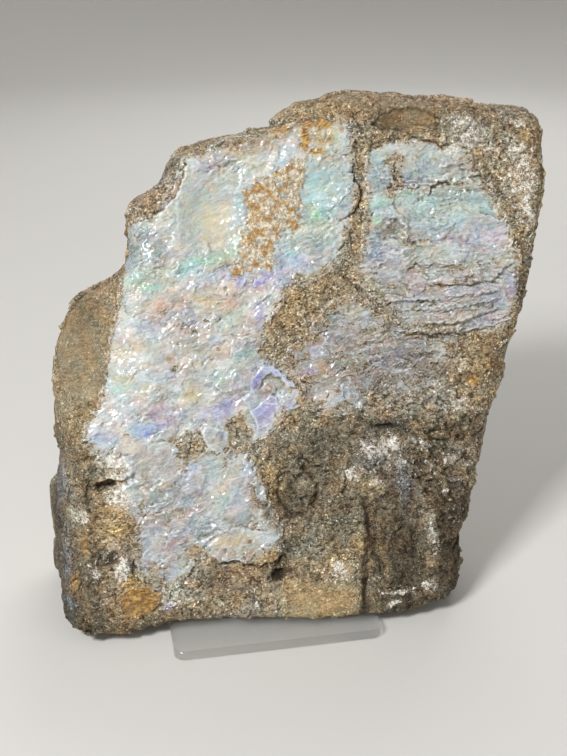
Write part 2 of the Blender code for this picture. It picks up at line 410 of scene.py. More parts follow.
@dataclass(frozen=True)
class Line:
    """A crack, ridge or ledge through listed points. A ledge drops on its right side.

    Size is its height or depth, width the softness of its edge, and reach how far a
    ledge's two sides take to level out again.
    """

    kind: LineKind
    points: tuple[Point, ...]
    size: float
    width: float = 0.4
    reach: float = 3.0

    def near(self, spots: Array) -> Array:
        """Pick the points close enough for the line to move them."""
        far = 3.0 * max(self.width, self.reach if self.kind is LineKind.LEDGE else 0.0)
        low = np.min(self.points, 0) - far
        high = np.max(self.points, 0) + far
        return np.nonzero(((spots > low) & (spots < high)).all(1))[0]

    def rise(self, spots: Array) -> Array:
        """Return how far the surface moves out, or in where negative."""
        nearest = np.full(len(spots), FAR)
        side = np.ones(len(spots))
        way = np.zeros(len(spots))
        count = len(self.points) - 1
        for index, (start, end) in enumerate(zip(self.points, self.points[1:])):
            reach, share, left = segment_reach(spots, start, end)
            closer = reach < nearest
            nearest = np.where(closer, reach, nearest)
            side = np.where(closer, left, side)
            way = np.where(closer, (index + share) / count, way)
        ends = smooth_step(0.0, 0.15, way) * smooth_step(0.0, 0.15, 1.0 - way)
        if self.kind is LineKind.LEDGE:
            step = smooth_step(-self.width, self.width, nearest * side) - 0.5
            return ends * self.size * step * np.exp(-nearest / self.reach)
        bump = np.exp(-nearest / self.width) * ends * self.size
        return bump if self.kind is LineKind.RIDGE else -bump


def ledge(size: float, *points: Point, width: float = 0.4, reach: float = 2.6) -> Line:
    """Return a ledge whose left side stands above its right."""
    return Line(LineKind.LEDGE, points, size, width, reach)


def crack(size: float, *points: Point, width: float = 0.5) -> Line:
    """Return a narrow cut."""
    return Line(LineKind.CRACK, points, size, width)


def ridge(size: float, *points: Point, width: float = 0.5) -> Line:
    """Return a narrow crest."""
    return Line(LineKind.RIDGE, points, size, width)


# ------------------------ colours


class Tint(Enum):
    """The stone's colours, each named for what it is in the specimen or for the painted shade it stands
    for.
    """

    MILK = "#c6c9c5"
    SNOW = "#d2d4d0"
    CREAM = "#c9c8b4"
    COLD_MILK = "#b9c2c6"
    ICE = "#adb3bd"
    AQUA = "#aacfd0"
    AQUA_FIRE = "#8fd6da"
    SEA = "#a2bdb8"
    SAGE = "#a7afa5"
    MINT = "#abd0b6"
    GREEN_FIRE = "#86e0a0"
    TEAL = "#7d9ea4"
    SKY = "#a6b7da"
    BLUE_FIRE = "#7a84ea"
    VIOLET = "#9f99d2"
    LILAC = "#b2aabf"
    MAUVE = "#a89f9f"
    PEACH = "#c8ae99"
    WARM_CREAM = "#d0c49f"
    RUST_VEIL = "#a8846a"
    HONEY = "#c8aa66"
    PEARL = "#e9edee"
    # Dark green-olive of a dish on the right field, partly its own colour and partly painted shade.
    SHADED_DISH_OLIVE = "#687063"
    SLATE = "#77777c"
    # Dark brown used as painted shade on the side that turns from the light.
    SHADE_BROWN = "#49433b"
    KHAKI = "#9a8a6e"
    SAND = "#a19075"
    GOLD_SAND = "#b59f78"
    GOLD_BROWN = "#a28b68"
    PINK_BROWN = "#a08a72"
    RED_BROWN = "#87735b"
    BEIGE = "#a69d8d"
    GREY_BROWN = "#8b8277"
    OLIVE_SAND = "#857c68"
    OLIVE = "#6e6655"
    DARK_OLIVE = "#595243"
    UMBER = "#6f604a"
    DARK_UMBER = "#4c4130"
    RUST = "#b3763a"
    AMBER = "#a57b36"
    RESIN = "#7f5418"
    BLACK_BROWN = "#2b221a"
    CHALK = "#f7f5ee"

    @property
    def rgb(self) -> Array:
        """Return the linear red, green and blue."""
        return np.array(linear(self.value)[:3])


@dataclass(frozen=True)
class Wash:
    """A soft stroke of one colour on the face."""

    tint: Tint
    spot: Spot


def strokes(*groups: tuple) -> tuple[Wash, ...]:
    """Return one wash for each row of a spot's values, in the tint that heads its group."""
    return tuple(Wash(tint, Spot(*row)) for tint, *rows in groups for row in rows)


@dataclass(frozen=True)
class Plate:
    """A broken flake with a crisp outline.

    Toward is the direction, in degrees, in which the flake rises by its slope and turns
    from its first tint to its second. Rim is how strong the painted highlight along its
    broken edge is, and clean how little the surface around it breaks it up.
    """

    tints: tuple[Tint, Tint]
    toward: float
    points: tuple[Point, ...]
    lift: float = 0.35
    slope: float = 0.07
    rim: float = 0.8
    clean: float = 0.3
    margin: float = 3.0

    def near(self, spots: Array) -> Array:
        """Pick the points close enough for the plate to change them."""
        low = np.min(self.points, 0) - self.margin
        high = np.max(self.points, 0) + self.margin
        return np.nonzero(((spots > low) & (spots < high)).all(1))[0]

    def read(self, spots: Array) -> tuple[Array, Array, Array]:
        """Measure flat points against the plate.

        Args:
            spots: Points in the face's plane.

        Returns:
            The depth inside its outline, its height there, and its colour there.
        """
        angle = math.radians(self.toward)
        way = (math.cos(angle), math.sin(angle))
        middle = np.mean(self.points, 0)
        along = (spots - middle) @ way
        ends = (np.array(self.points) - middle) @ way
        share = smooth_step(ends.min(), ends.max(), along)[:, None]
        first, second = (tint.rgb for tint in self.tints)
        tint = first + share * (second - first)
        return Zone(self.points).depth(spots), self.lift + self.slope * along, tint


def plate(first: Tint, second: Tint, toward: float, *points: Point, lift: float = 0.35,
          slope: float = 0.07, rim: float = 0.8, clean: float = 0.3) -> Plate:
    """Return a plate in one line."""
    return Plate((first, second), toward, points, lift, slope, rim, clean)


# ------------------------ the stone's map


@dataclass(frozen=True)
class StoneMap:
    """Where everything lies on the stone's face, in the face's millimetres.

    Firm_u and firm_v say between which places the seam's edge turns from ragged to crisp.
    """

    firm_u: Point = (-22.0, -32.0)
    firm_v: Point = (54.0, 62.0)
    left_field: tuple[Zone, ...] = (
        Zone(((-34.5, 114), (-31, 116), (-27.6, 115.5), (-22.6, 121.8), (-18.4, 127), (-16.5, 133),
              (-11, 134.5), (-6, 137.2), (2, 138.6), (9, 139.2), (16, 140.5), (24, 141),
              (30.5, 141), (31.2, 135), (31, 129), (32.5, 124), (31.5, 117), (29.5, 111),
              (28, 105), (25, 100), (18, 96.5), (11, 94.5), (6.5, 88), (2, 81.5),
              (1.5, 76), (8, 71.5), (11.5, 66), (10.5, 60.5), (6, 56.5), (1.5, 52.5),
              (-4, 50), (-8, 53.5), (-9.5, 49), (-14, 48.5), (-18, 54), (-26, 52),
              (-40, 50), (-46, 50), (-50.5, 55), (-50, 59), (-45.5, 63.5), (-43, 71),
              (-41, 81), (-38, 91), (-35.5, 103)), 0.25),
        Zone(((-46, 52), (-30, 56), (-22.5, 55), (-22, 46), (-20, 50), (-12, 50),
              (-3, 47), (-1.5, 38), (1, 31), (4.5, 25), (3, 19.5), (-3, 17.5),
              (-14, 16.5), (-19, 19), (-23, 13), (-29, 10.5), (-36, 10.5), (-38, 20),
              (-38.5, 28), (-41.5, 34), (-42, 44), (-47, 49)), 0.9),
    )
    right_field: tuple[Zone, ...] = (
        Zone(((36, 131), (39, 134), (46, 135), (53, 134.2), (60, 133.4), (66, 132),
              (70, 126), (73.5, 119), (77, 111), (79.5, 104), (81, 98), (80, 89),
              (77, 80), (70, 77), (60, 79), (50, 79.5), (44, 81.5), (40, 86),
              (34, 90.5), (31.5, 97), (33, 105), (35, 112), (35.2, 121)), 0.3),
    )
    middle_field: tuple[Zone, ...] = (
        Zone(((7, 72), (9.5, 77), (15, 80), (19, 85), (24, 89.5), (31, 91),
              (37, 87), (43, 82), (52, 79), (60, 78), (61, 71), (54, 64.5),
              (44, 62), (33, 63), (29, 57.5), (21, 56.5), (13, 60), (10, 66)), 3.4),
    )
    islands: tuple[Spot, ...] = ovals(
        (-6.6, 54.6, 2, 2.6, 1, 10), (43.5, 125.5, 1, 3, 1, -8), (49.5, 105.6, 1.6, 0.6),
        (-3, 36, 1, 1.6), (-33, 17, 1.6, 1),
    )
    stains: tuple[Spot, ...] = ovals(
        (-16, 85.4, 8, 2.6, 0.7, 10), (-27, 89, 6, 2.2, 0.55, 8), (-19.4, 63.6, 2.4, 3.4, 0.42),
        (-23.5, 74, 3, 3.6, 0.7), (-3, 85, 5, 3.6, 0.65, 35), (-30, 61, 5, 2.4, 0.55, 20),
        (-9, 57, 4, 2, 0.6, 30), (-22.5, 52, 4, 4.6, 0.72), (-7, 53, 4, 3.6, 0.85), (-27, 41, 5, 4, 0.5),
        (-34, 33, 2.8, 6, 0.85, 20), (-20, 21.5, 6, 2.6, 0.95, 10), (-5, 26.5, 3.4, 2.4, 0.75),
        (-28, 31, 4, 2.4, 0.8, 10), (-39, 31, 3, 8, 0.7, -8), (-41, 45, 3, 4, 0.6), (-33, 13, 4, 3, 0.7),
        (-25, 17, 5, 2, 0.6, 20), (-17, 17.6, 7, 1.6, 0.6), (-0.5, 33, 2.8, 7, 0.75),
        (12, 60, 4, 3, 0.75), (-11, 78, 4, 2, 0.45, 20), (-38, 56, 5, 1.6, 0.45, 10),
        (-13, 45, 3, 2.4, 0.6), (-24, 14, 4, 2, 0.6), (-12, 30, 3, 1.6, 0.55, 20),
        (22, 103, 5, 2.2, 0.5, 30), (12, 96.6, 6, 1.6, 0.6, 20), (42, 92, 7, 2, 0.7),
        (60, 97.6, 10, 1.6, 0.55, 3), (62, 92.6, 12, 1.3, 0.85, 2), (49, 86.4, 9, 1.8, 0.85),
        (66, 84.4, 8, 1.4, 0.6, 4), (54, 81, 7, 1.6, 0.7), (43.5, 124.5, 2.4, 5, 0.8, -8),
        (47.5, 121.4, 4.6, 1.6, 0.8), (59, 121.6, 8, 1.4, 0.75, 4), (65, 126, 4.6, 3.6, 0.6),
        (72, 118, 2.6, 6, 0.7), (56, 128.6, 5, 1.4, 0.55, 6), (52, 112.6, 6, 1, 0.5, 4),
        (40, 110, 4, 2, 0.6), (38, 91, 4, 3, 0.8), (47, 129.6, 5, 1.6, 0.6, -4), (64, 121, 7, 4, 0.5),
        (70, 97, 7, 2, 0.55), (46, 107, 3, 3, 0.6), (36, 96, 2, 4, 0.6), (32, 72, 20, 8, 0.68),
        (14, 66, 5, 4, 0.8), (46, 70, 13, 6, 0.85), (18, 80, 4, 3, 0.7, 30), (33, 80, 8, 3, 0.7, 10),
        (7, 74, 2.4, 3, 0.8), (-2, 137.4, 7, 2.4, 0.9), (8, 138.6, 6, 1.4, 0.5), (15, 141.4, 5, 1.6, 0.9),
        (-32, 110, 3, 3, 0.4), (2, 27, 2.4, 3, 0.6),
    )
    rust_patch: Zone = Zone((
        (18.4, 130.9), (18, 126), (15.4, 120.2), (16.2, 116.4), (14.2, 111), (9.4, 110.4), (7.6, 108),
        (6.4, 104), (8, 101), (5, 99.4), (2, 100.6), (-1.2, 99.8), (-5, 98.2), (-6.6, 100.2),
        (-2.6, 103.2), (-3, 108), (-0.2, 112.4), (0.6, 115.4), (-1, 118.4), (0, 123), (3.4, 125.6),
        (7.3, 126.8), (11, 128.2), (14.8, 130.8)))
    rust: tuple[Spot, ...] = ovals(
        (18.5, 113, 2.4, 1.4, 0.7), (72, 135.5, 4, 1.5, 0.6), (74, 125, 2.5, 4, 0.5),
        (8, 100.6, 2, 1, 0.6),
    )
    chalk: tuple[Spot, ...] = ovals(
        (-42, 48.5, 5, 2.2, 1, -20), (-40.5, 38, 4.4, 2.6, 1, -20), (-43.5, 17, 2.2, 4.5, 0.8, 10),
        (-52.5, 33, 1.4, 3.5, 0.8), (37.5, 46, 4.6, 3.4, 1, 20), (31, 47, 2.4, 2.6, 0.9),
        (27, 38.5, 2.8, 2.4, 0.9), (19.5, 12.5, 4, 2.8, 0.9, -30), (47.5, 46.5, 3.6, 3, 0.6),
        (57, 41, 4, 3, 0.6), (53.5, 31.5, 1.8, 3, 0.6), (36, 3.4, 6.5, 0.9, 0.9, 4),
        (82, 138.6, 3.2, 1.4, 0.8), (67, 132.6, 3.4, 1.6, 1, -20), (73.5, 131.4, 3.6, 0.9, 1, 4),
        (60, 57, 7, 5, 0.55, 20), (36, 58, 6, 3, 0.45), (62, 68, 2, 2, 0.6), (83, 74, 2, 6, 0.4),
        (28, 63, 3, 3, 0.5), (29.5, 8, 3, 0.7, 0.8, 30), (-6, 6, 3.5, 3, 0.5), (47.6, 20, 1.6, 9, 0.6, 5),
        (62, 132, 4, 3, 0.8), (80, 131, 4, 4, 0.7), (84, 112, 3, 6, 0.8), (64, 139, 5, 3, 0.8),
        (41, 41, 5, 5, 0.55), (33, 36, 4, 4, 0.5), (51, 38, 4, 5, 0.5), (50, 62, 12, 4, 0.45, 10),
        (-44, 24, 4, 5, 0.6), (-50, 17, 3, 4, 0.6), (-41, 44, 6, 3, 0.7), (-30, 7, 4, 2.6, 0.6),
        (83, 122, 7, 16, 0.7), (66, 136, 9, 6, 0.75), (44, 44, 16, 12, 0.3), (64, 57, 9, 8, 0.4),
        (16, 12, 9, 5, 0.35), (42, 4, 8, 4, 0.35), (56, 28, 6, 14, 0.3), (-4, 4, 8, 5, 0.35),
        (-46, 20, 7, 9, 0.35), (36, 122, 1.6, 8, 0.5), (8, 53, 4, 3, 0.4), (-25, 46, 4, 6, 0.4),
        (-42, 37, 5, 2.4, 0.9, -20), (-46, 49, 1.6, 2, 0.9), (-42.4, 19, 1.6, 3.4, 0.9),
        (34, 45, 6, 3.4, 0.8), (35, 1, 5, 1, 0.8, 4), (46, 5.6, 2.4, 2.4, 0.8),
    )
    amber: tuple[Spot, ...] = ovals(
        (18, 136, 2.2, 5, 1, 4), (22.5, 140.4, 6.4, 2), (12, 139.5, 3.4, 1.8, 0.8, 20),
        (21.5, 132.4, 3.6, 1.4, 0.9, 4), (24, 136, 4, 3, 0.5), (28.6, 139, 1.2, 2, 0.6),
        (-1, 133, 3, 2, 0.3), (-37.6, 8, 6, 4.4, 1, -8), (-41, 28.6, 3, 0.8, 0.8), (-47, 30, 1.6, 3, 0.4),
        (0.5, 17, 2.6, 0.9, 0.9, 20), (-5.5, 22.5, 2, 1.2, 0.6), (64.5, 63.5, 2.4, 2.4, 0.8, -20),
        (23, 63.5, 2.6, 0.9, 0.6, -20), (-52.4, 26, 0.9, 4.6, 0.9, -6), (-28, 8.5, 3, 2, 0.35),
        (-56, 15, 2.6, 3.5, 0.6), (-19.5, 65, 1.6, 2, 0.5),
    )
    # Painted shade: near-black spots in holes, cracks and under ledges.
    dark: tuple[Spot, ...] = ovals(
        (-45.5, 41.5, 4.2, 1.2, 1, 2), (2.5, 11.8, 4.4, 1.8, 1, 14), (37, 52.4, 5.5, 0.9, 0.8, -4),
        (-45, 20.5, 2.6, 2, 0.7, 30), (55, 47, 4, 0.7, 0.6, -20), (-12, 16.6, 4, 0.6, 0.8, 6),
        (8, 19.5, 5, 1.1, 0.55, 42), (40.5, 111, 4, 1.6, 0.4), (56, 12, 2.6, 9, 0.6),
        (14, 32.5, 3.6, 1.2, 0.6, 24), (49, 34, 4, 0.8, 0.55, -24), (88.5, 134, 1.2, 1.2, 0.8),
        (25.8, 2, 0.9, 7, 0.5),
    )

    @property
    def opal_zones(self) -> tuple[Zone, ...]:
        """Return the zones of all three opal fields."""
        return (*self.left_field, *self.right_field, *self.middle_field)


@dataclass(frozen=True)
class ReliefMap:
    """The cracks, ridges, ledges, dishes and knobs that stand in or out of the face."""

    lines: tuple[Line, ...] = (
        # The ironstone rim overhangs the right field, and the opal seam overhangs the left step.
        ledge(2.2, (34.5, 131), (38, 134.5), (44, 136), (50, 136), (56, 134.2), (62, 133),
              width=0.5, reach=5),
        ledge(1.2, (-16.4, 134), (-17, 127.5), (-20, 122), (-25, 117), (-30, 115.5),
              (-34, 113.5), width=0.4, reach=3),
        # Thin layers that break off in steps across the right side, each proud above its line.
        ledge(1, (33, 98.6), (40, 99.6), (47, 99), (53, 101), (60, 102.4), (70, 101.6)),
        ledge(1.7, (51, 94.6), (58, 92.4), (65, 92), (72, 93), (76, 95.6), (80, 99)),
        ledge(1.5, (37, 87.4), (44, 88.8), (52, 88), (60, 88.9), (70, 89.4), (79, 91)),
        ledge(1.3, (41, 85), (48, 86), (56, 84.8), (60, 85.6), (69, 86.6), (77, 88)),
        ledge(1.3, (49, 80.8), (58, 81.4), (66, 82.6), (77, 85)),
        ledge(1.6, (40, 79.6), (50, 78.6), (62, 78.2), (76, 80.4), width=0.4, reach=3),
        ledge(1.3, (36, 125.4), (42.5, 124.2), (43, 121)),
        ledge(1.8, (53.6, 118.6), (54.4, 121.4), (57, 122.2), (62, 122.2), reach=3),
        ledge(1.3, (47.4, 103.4), (47.8, 108), (47.4, 112), (44.6, 114), (43, 116.8), (44.4, 120.4),
              width=0.7, reach=4),
        ledge(0.7, (56, 104.4), (59, 107), (60.5, 110), (66, 111.6), (74, 110.4), (79, 108), width=0.6),
        # The layers at the foot of the left side.
        ledge(2.2, (-19, 20), (-15, 17), (-9, 17), (-4, 15.4), (1, 15.6), (5, 18.6), reach=3),
        ledge(1, (3, 24), (-3, 25.4), (-10, 26.6), (-17, 25.6), (-24, 23)),
        ledge(1.8, (-49, 43.6), (-45, 43), (-40, 43), (-36, 45)),
        ledge(0.9, (-28, 10), (-34, 12), (-42, 13), (-47, 2.6)),
        # The square block at the foot and the hollow to its right.
        ledge(3.4, (25.2, -2), (25.4, 5), (26.8, 12), (28.4, 20), (29, 27), (28, 35),
              width=1.6, reach=5),
        ledge(0.8, (24, 10.8), (14, 9.6), (6, 10.6), (0.5, 10)),
        ledge(2.4, (44, 35), (45.6, 28), (44, 20), (45, 12), (43, 3), width=1.4, reach=4),
        # Shadowed cuts.
        crack(1.6, (10.2, 44.8), (13.5, 43.2), (16.5, 41.6), (19, 40.8)),
        crack(2, (31, 129), (32, 125.4), (33.8, 122.4), (33.6, 118.4), (31.6, 115), (29, 113)),
        crack(1.6, (26, 98.4), (29.4, 95), (32, 92), (36, 89)),
        crack(1.6, (-1, 12), (5, 17.6), (11, 24), (16, 31.6), width=1.1),
        crack(1.5, (44, 36.6), (47, 35.6), (51, 33.8)),
        crack(1.5, (49, 48.6), (53, 47.2), (57, 45)),
        ridge(0.9, (-50, 48), (-53, 35), (-50, 25), (-49, 15), (-51, 5), width=0.8),
        # Edges of broken flakes.
        crack(1.7, (8.4, 42), (5, 39.4), (4, 35.5), (5.2, 31), (8.4, 28.2), (12.2, 28.6), (15.2, 31.6),
              (17, 36), width=0.9),
        ledge(0.9, (-28.6, 57.4), (-31.6, 60.6), (-36, 60.4), (-40, 58.4)),
        ledge(0.6, (9.6, 139), (13.4, 136), (11, 131), (5, 127.6), width=0.8),
        ledge(0.8, (-20.6, 121), (-19.4, 116), (-21.4, 111), (-22.6, 105), width=1),
        ledge(0.5, (-3.6, 110.4), (-0.8, 115.4), (0.4, 121.4), (-1.2, 127.6), width=1),
    )
    dishes: tuple[Spot, ...] = ovals(
        (-11, 114, 10, 11, 1.5, 8), (-28, 106, 5, 5.6, -1.3, 10), (2.6, 65.4, 5, 5, 1.1, 20),
        (0.8, 58.4, 3, 5, 0.9, -18), (-13.4, 53.4, 3.4, 3.6), (-8.6, 63, 4.4, 4, 0.7, 20),
        (41.6, 109.8, 4.8, 3.4, 1.6, 4), (30.6, 100, 3, 4, 0.4), (45.6, 115.4, 2.4, 2.2),
        (39.5, 129, 4.2, 3, 0.8, 10), (69, 105.6, 8, 4.6, 0.9), (20, 120, 8, 7, 0.8),
        (-14, 39, 4.2, 6, 0.8, -24), (-6.4, 36, 2.6, 5, 0.7, -24), (-33, 56.6, 5, 2.8, 0.7),
        (-30.6, 63, 4, 2.6, 0.7), (-37, 78, 5, 5, 0.6), (-11, 73, 6, 4, 0.8, 10),
        (-38, 8, 7, 3.6, 0.9, -8), (-16, 104, 6, 2.4, 0.6, 6), (56.5, 127, 6, 3, 0.7),
        (14, 72.4, 4.6, 4, 0.6, 20), (10.6, 35.4, 8, 8.6, 2), (12, 36, 4, 3.8, -2.2),
        (16, 42, 12, 10, 1.2, 20), (62, 116, 7, 4, 0.6),
    )
    pits: tuple[Spot, ...] = ovals(
        (48, 140.6, 10.6, 3.9, 1.7, -2), (-45.5, 41.6, 4.6, 1.7, 2.4, 2), (2.4, 12, 4, 1.8, 2.8, 14),
        (37, 52.2, 5, 0.9, 1.6, -4), (-45, 21, 2.2, 1.8, 1.2, 30), (49.4, 105.6, 1.4, 0.7, 0.9),
        (-53, 0.2, 1.6, 2.2, 2), (56, 48, 2, 0.8, 1.2, -10), (23.2, 149.6, 1.2, 2),
        (44.2, 125.4, 1, 3, 0.8, -8),
    )
    quiet: Patches = ((-52, 82, 12, 17, 1), (12, 4.5, 12, 6, 1), (48.6, 141.2, 10, 3.6, 1))
    calm_stone: Patches = (
        (-52, 82, 12, 19, 1), (12, 3, 12, 7, 0.8), (52, 148.5, 30, 5, 0.7), (48, 141, 10.5, 4, 0.9),
    )
    calm_opal: Patches = ((-12, 117, 9, 9.5, 1), (-31, 80, 8, 9, 0.4), (20, 124, 8, 6, 0.4))
    trough: Patches = ((37.5, 16, 9, 20, 1),)
    crags: Patches = ((57, 34, 12, 26, 1), (42, 42, 14, 12, 0.6), (48, 66, 22, 10, 0.5))
    striated: Patches = ((48, 141, 12, 4, 1),)
    layered: Patches = ((58, 88, 28, 15, 1),)
    bedded: Patches = ((58, 100, 28, 34, 1),)


@dataclass(frozen=True)
class PlateMap:
    """The flakes that stand out on the face, on the opal and on the ironstone."""

    opal: tuple[Plate, ...] = (
        # The shell-shaped flakes in the middle of the stone.
        plate(Tint.VIOLET, Tint.BLUE_FIRE, 60, (-5, 63.4), (-2.5, 65.6), (-1.8, 69.2), (1.6, 72.4),
              (4.4, 71.8), (7.3, 69.8), (9.4, 67.6), (11.3, 65.8), (8.8, 66.4), (6.5, 68.8), (3.7, 70.3),
              (1.2, 68.6), (0.2, 66), lift=0.9, rim=1, clean=0.9),
        plate(Tint.SAGE, Tint.RUST_VEIL, 0, (0.6, 66.8), (1.4, 68.6), (3.7, 70), (6.3, 68.6), (8.2, 66.6),
              (6, 65), (4, 66), (2.2, 66.2), lift=-0.5, slope=-0.05, rim=0.1, clean=0.9),
        plate(Tint.COLD_MILK, Tint.RUST_VEIL, 25, (-5, 63.2), (-2.4, 65.2), (0.6, 66), (3, 68.2),
              (4.8, 67.2), (5.2, 64.6), (2.6, 62.8), (-1, 61), (-3, 59.8), lift=0.5, slope=-0.1, rim=0.6,
              clean=0.9),
        plate(Tint.VIOLET, Tint.LILAC, -75, (-3, 59.6), (0.3, 61.6), (3.3, 63.8), (5, 63), (5.2, 60.2),
              (3.7, 56), (1.4, 52.4), (-0.6, 51.4), (-2.8, 50.4), (-1.7, 52.6), (-1, 55), (-1.8, 57.2),
              lift=0.8, slope=-0.06, rim=1, clean=0.9),
        plate(Tint.VIOLET, Tint.ICE, 60, (7.6, 59.4), (8.2, 62.4), (10.2, 65), (11.6, 65.2), (11, 62.8),
              (9.6, 60), clean=0.7),
        plate(Tint.VIOLET, Tint.SKY, 40, (8.4, 58), (10.2, 60.2), (12.4, 60.4), (11.4, 58.4), (9.6, 57.4),
              clean=0.7),
        plate(Tint.COLD_MILK, Tint.ICE, 0, (-17.2, 54.6), (-15.6, 50.4), (-13.4, 48.6), (-11.6, 48.8),
              (-10, 51.8), (-9.8, 54.6), (-13, 56), (-16.4, 56.8), lift=0.7, slope=-0.09, rim=1,
              clean=0.9),
        plate(Tint.SLATE, Tint.ICE, -60, (-12.6, 54.2), (-10.4, 54.9), (-10.2, 51.8), (-11.2, 49.8),
              (-12.2, 51.8), lift=-0.2, rim=0.5),
        plate(Tint.SKY, Tint.VIOLET, -30, (-18.4, 57.4), (-17.6, 61.4), (-13, 62.6), (-8, 61.8),
              (-6.2, 59.4), (-9.4, 57.2), (-13.6, 56.4), rim=0.6),
        plate(Tint.MINT, Tint.LILAC, -50, (-13.4, 69.6), (-9.5, 73.6), (-6.4, 76), (-3.2, 78.6),
              (0.4, 78.2), (1.2, 75.6), (-1, 72.4), (-3.6, 68.8), (-6, 66), (-10, 66.8), rim=0.7),
        # The left side.
        plate(Tint.WARM_CREAM, Tint.PEACH, 0, (-19, 94), (-13, 93.2), (-6, 92.6), (-2.6, 90), (-9, 87.8),
              (-15, 87.6), (-18.6, 90), lift=0.2, rim=0.3),
        plate(Tint.MAUVE, Tint.VIOLET, -90, (-31.4, 65), (-26.4, 64.6), (-25.6, 61), (-28, 58.4),
              (-32, 59), (-33.4, 62), lift=0, rim=0.5),
        plate(Tint.AQUA, Tint.BLUE_FIRE, -70, (-38, 58.6), (-32.4, 60), (-29.4, 57.4), (-30.6, 54.4),
              (-35, 54.6), (-39, 56.4), lift=0.5, rim=0.8),
        # The glassy plates at the foot of the left side.
        plate(Tint.ICE, Tint.SKY, 70, (-24.8, 34.4), (-22.4, 39), (-22, 44.6), (-20.6, 47), (-18, 46),
              (-17.4, 42), (-19.4, 37.6), (-22, 33.6), lift=0.5, rim=0.9),
        plate(Tint.COLD_MILK, Tint.AQUA, 90, (-16.8, 47.4), (-12.4, 48), (-11, 45.6), (-12.6, 42),
              (-14, 38.8), (-17.2, 41.4), lift=0.4, rim=0.8),
        plate(Tint.CREAM, Tint.PEACH, 20, (-12.6, 42), (-8, 43.4), (-5.6, 41), (-7.6, 38.4),
              (-10.4, 35.6), (-12.6, 34.8), (-13.8, 38), lift=0.5, rim=0.9),
        plate(Tint.MILK, Tint.CREAM, -40, (-17.8, 38), (-14.4, 38.6), (-12.6, 34.6), (-11, 32),
              (-14.6, 30.6), (-18.4, 32.8), rim=0.8),
        plate(Tint.ICE, Tint.LILAC, -60, (-10.8, 34.4), (-8, 37.4), (-6.4, 36), (-6.8, 31), (-9.6, 29.6),
              (-12, 31.2), lift=0.1, rim=0.7),
        plate(Tint.ICE, Tint.SKY, 90, (-6, 45), (-4.6, 41), (-3, 38), (-2.2, 34.2), (-0.6, 34.4),
              (-1.6, 38.6), (-3.4, 43), (-4.4, 46), lift=0.8, rim=1),
        plate(Tint.CREAM, Tint.MILK, 0, (-19, 23.4), (-14, 25.4), (-8, 26.2), (-3, 25.4), (2, 24.6),
              (3.6, 22), (-1, 20.6), (-8, 20.2), (-14, 20.8), (-18.6, 21.4), lift=0.9, slope=0, rim=0.9),
        plate(Tint.CREAM, Tint.SAND, 0, (-18, 20.2), (-8, 19.6), (-8.4, 17.4), (-14, 17.2), (-18.4, 18.6),
              lift=0.3, rim=0.6),
        # The right side.
        plate(Tint.MINT, Tint.PEACH, -90, (43.4, 116.4), (44.2, 119.8), (47, 121.2), (50.6, 120.6),
              (51, 118), (48.4, 115.6), (47.4, 112.8), (44.6, 113.4), lift=0.9, slope=-0.05, rim=0.8),
        plate(Tint.AQUA, Tint.SNOW, 60, (36.2, 129), (38.6, 133.2), (43, 134.4), (47, 133), (43, 131.2),
              (40, 128.8), (36.6, 126.4), rim=0.4),
        plate(Tint.TEAL, Tint.ICE, 60, (36.2, 125.4), (38.6, 128), (42.4, 127.6), (42.6, 123.4),
              (40, 121), (36.4, 122.2), lift=0.2, rim=0.4),
        # A sunken dish whose dark olive is partly its own colour and partly painted shade.
        plate(Tint.OLIVE, Tint.KHAKI, -60, (39.8, 109.6), (41.4, 112), (45, 111.8), (47, 109),
              (45.6, 106.8), (42, 107.2), lift=-1.3, slope=-0.05, rim=0),
        plate(Tint.MILK, Tint.BEIGE, -60, (47.6, 111.6), (52, 112.2), (52.4, 107.6), (50.6, 104.8),
              (47.8, 106), lift=0.4, rim=0.5),
        plate(Tint.COLD_MILK, Tint.LILAC, -30, (62, 112), (70, 113), (77, 109), (78, 104.6), (70, 103.8),
              (62, 106), rim=0.6),
        plate(Tint.LILAC, Tint.MAUVE, -60, (37, 99), (41, 101.6), (47, 99.6), (46, 95.6), (40, 94.4),
              (36.6, 96), lift=0.2, rim=0.5),
        plate(Tint.CREAM, Tint.MILK, 0, (50, 103.6), (60, 104.4), (64, 102.6), (58, 100.2), (50, 100.6),
              lift=0.4, rim=0.6),
    )
    stone: tuple[Plate, ...] = (
        plate(Tint.UMBER, Tint.GOLD_BROWN, 20, (37.6, 139.2), (40.4, 142), (44.6, 143.9), (49.4, 144.3),
              (54, 143.2), (58.4, 140.6), (57, 138.2), (51, 138.9), (45, 138.2), (40, 138), lift=-1.6,
              slope=0, clean=0.75),
        plate(Tint.GOLD_BROWN, Tint.KHAKI, 0, (36.2, 134), (38.6, 137.4), (45, 137.4), (51, 138.2),
              (56.6, 137.4), (58, 135.2), (52, 135), (44, 134.8), lift=-0.5, slope=0),
        plate(Tint.RESIN, Tint.AMBER, 60, (-43, 10), (-41, 13), (-36, 12), (-31.5, 10), (-33, 6.5),
              (-37, 4), (-42, 2.6), (-43.4, 6), lift=0.9, slope=0.05, clean=0.75),
        plate(Tint.KHAKI, Tint.OLIVE_SAND, 40, (8.6, 35), (10, 38.6), (13, 39.2), (15, 36.6), (14, 33.4),
              (10.8, 32.8), lift=1.2, slope=0.05, clean=0.5),
        plate(Tint.KHAKI, Tint.GOLD_SAND, 90, (28, 32), (29, 36), (33, 37), (36.4, 35), (36, 31.6),
              (31.6, 30.4), lift=0.9, clean=0.5),
        plate(Tint.BEIGE, Tint.KHAKI, -90, (44.6, 11), (45.4, 19), (45, 26.6), (49, 27.6), (50.4, 20),
              (49.6, 12), (47, 9.6), lift=1.3, slope=0, clean=0.45),
        plate(Tint.GOLD_SAND, Tint.GOLD_SAND, 0, (1.6, -3), (24.4, -3.6), (25.2, 4), (23.2, 10),
              (14, 9.2), (6, 9.8), (1.4, 8.4), lift=0.7, slope=0),
    )


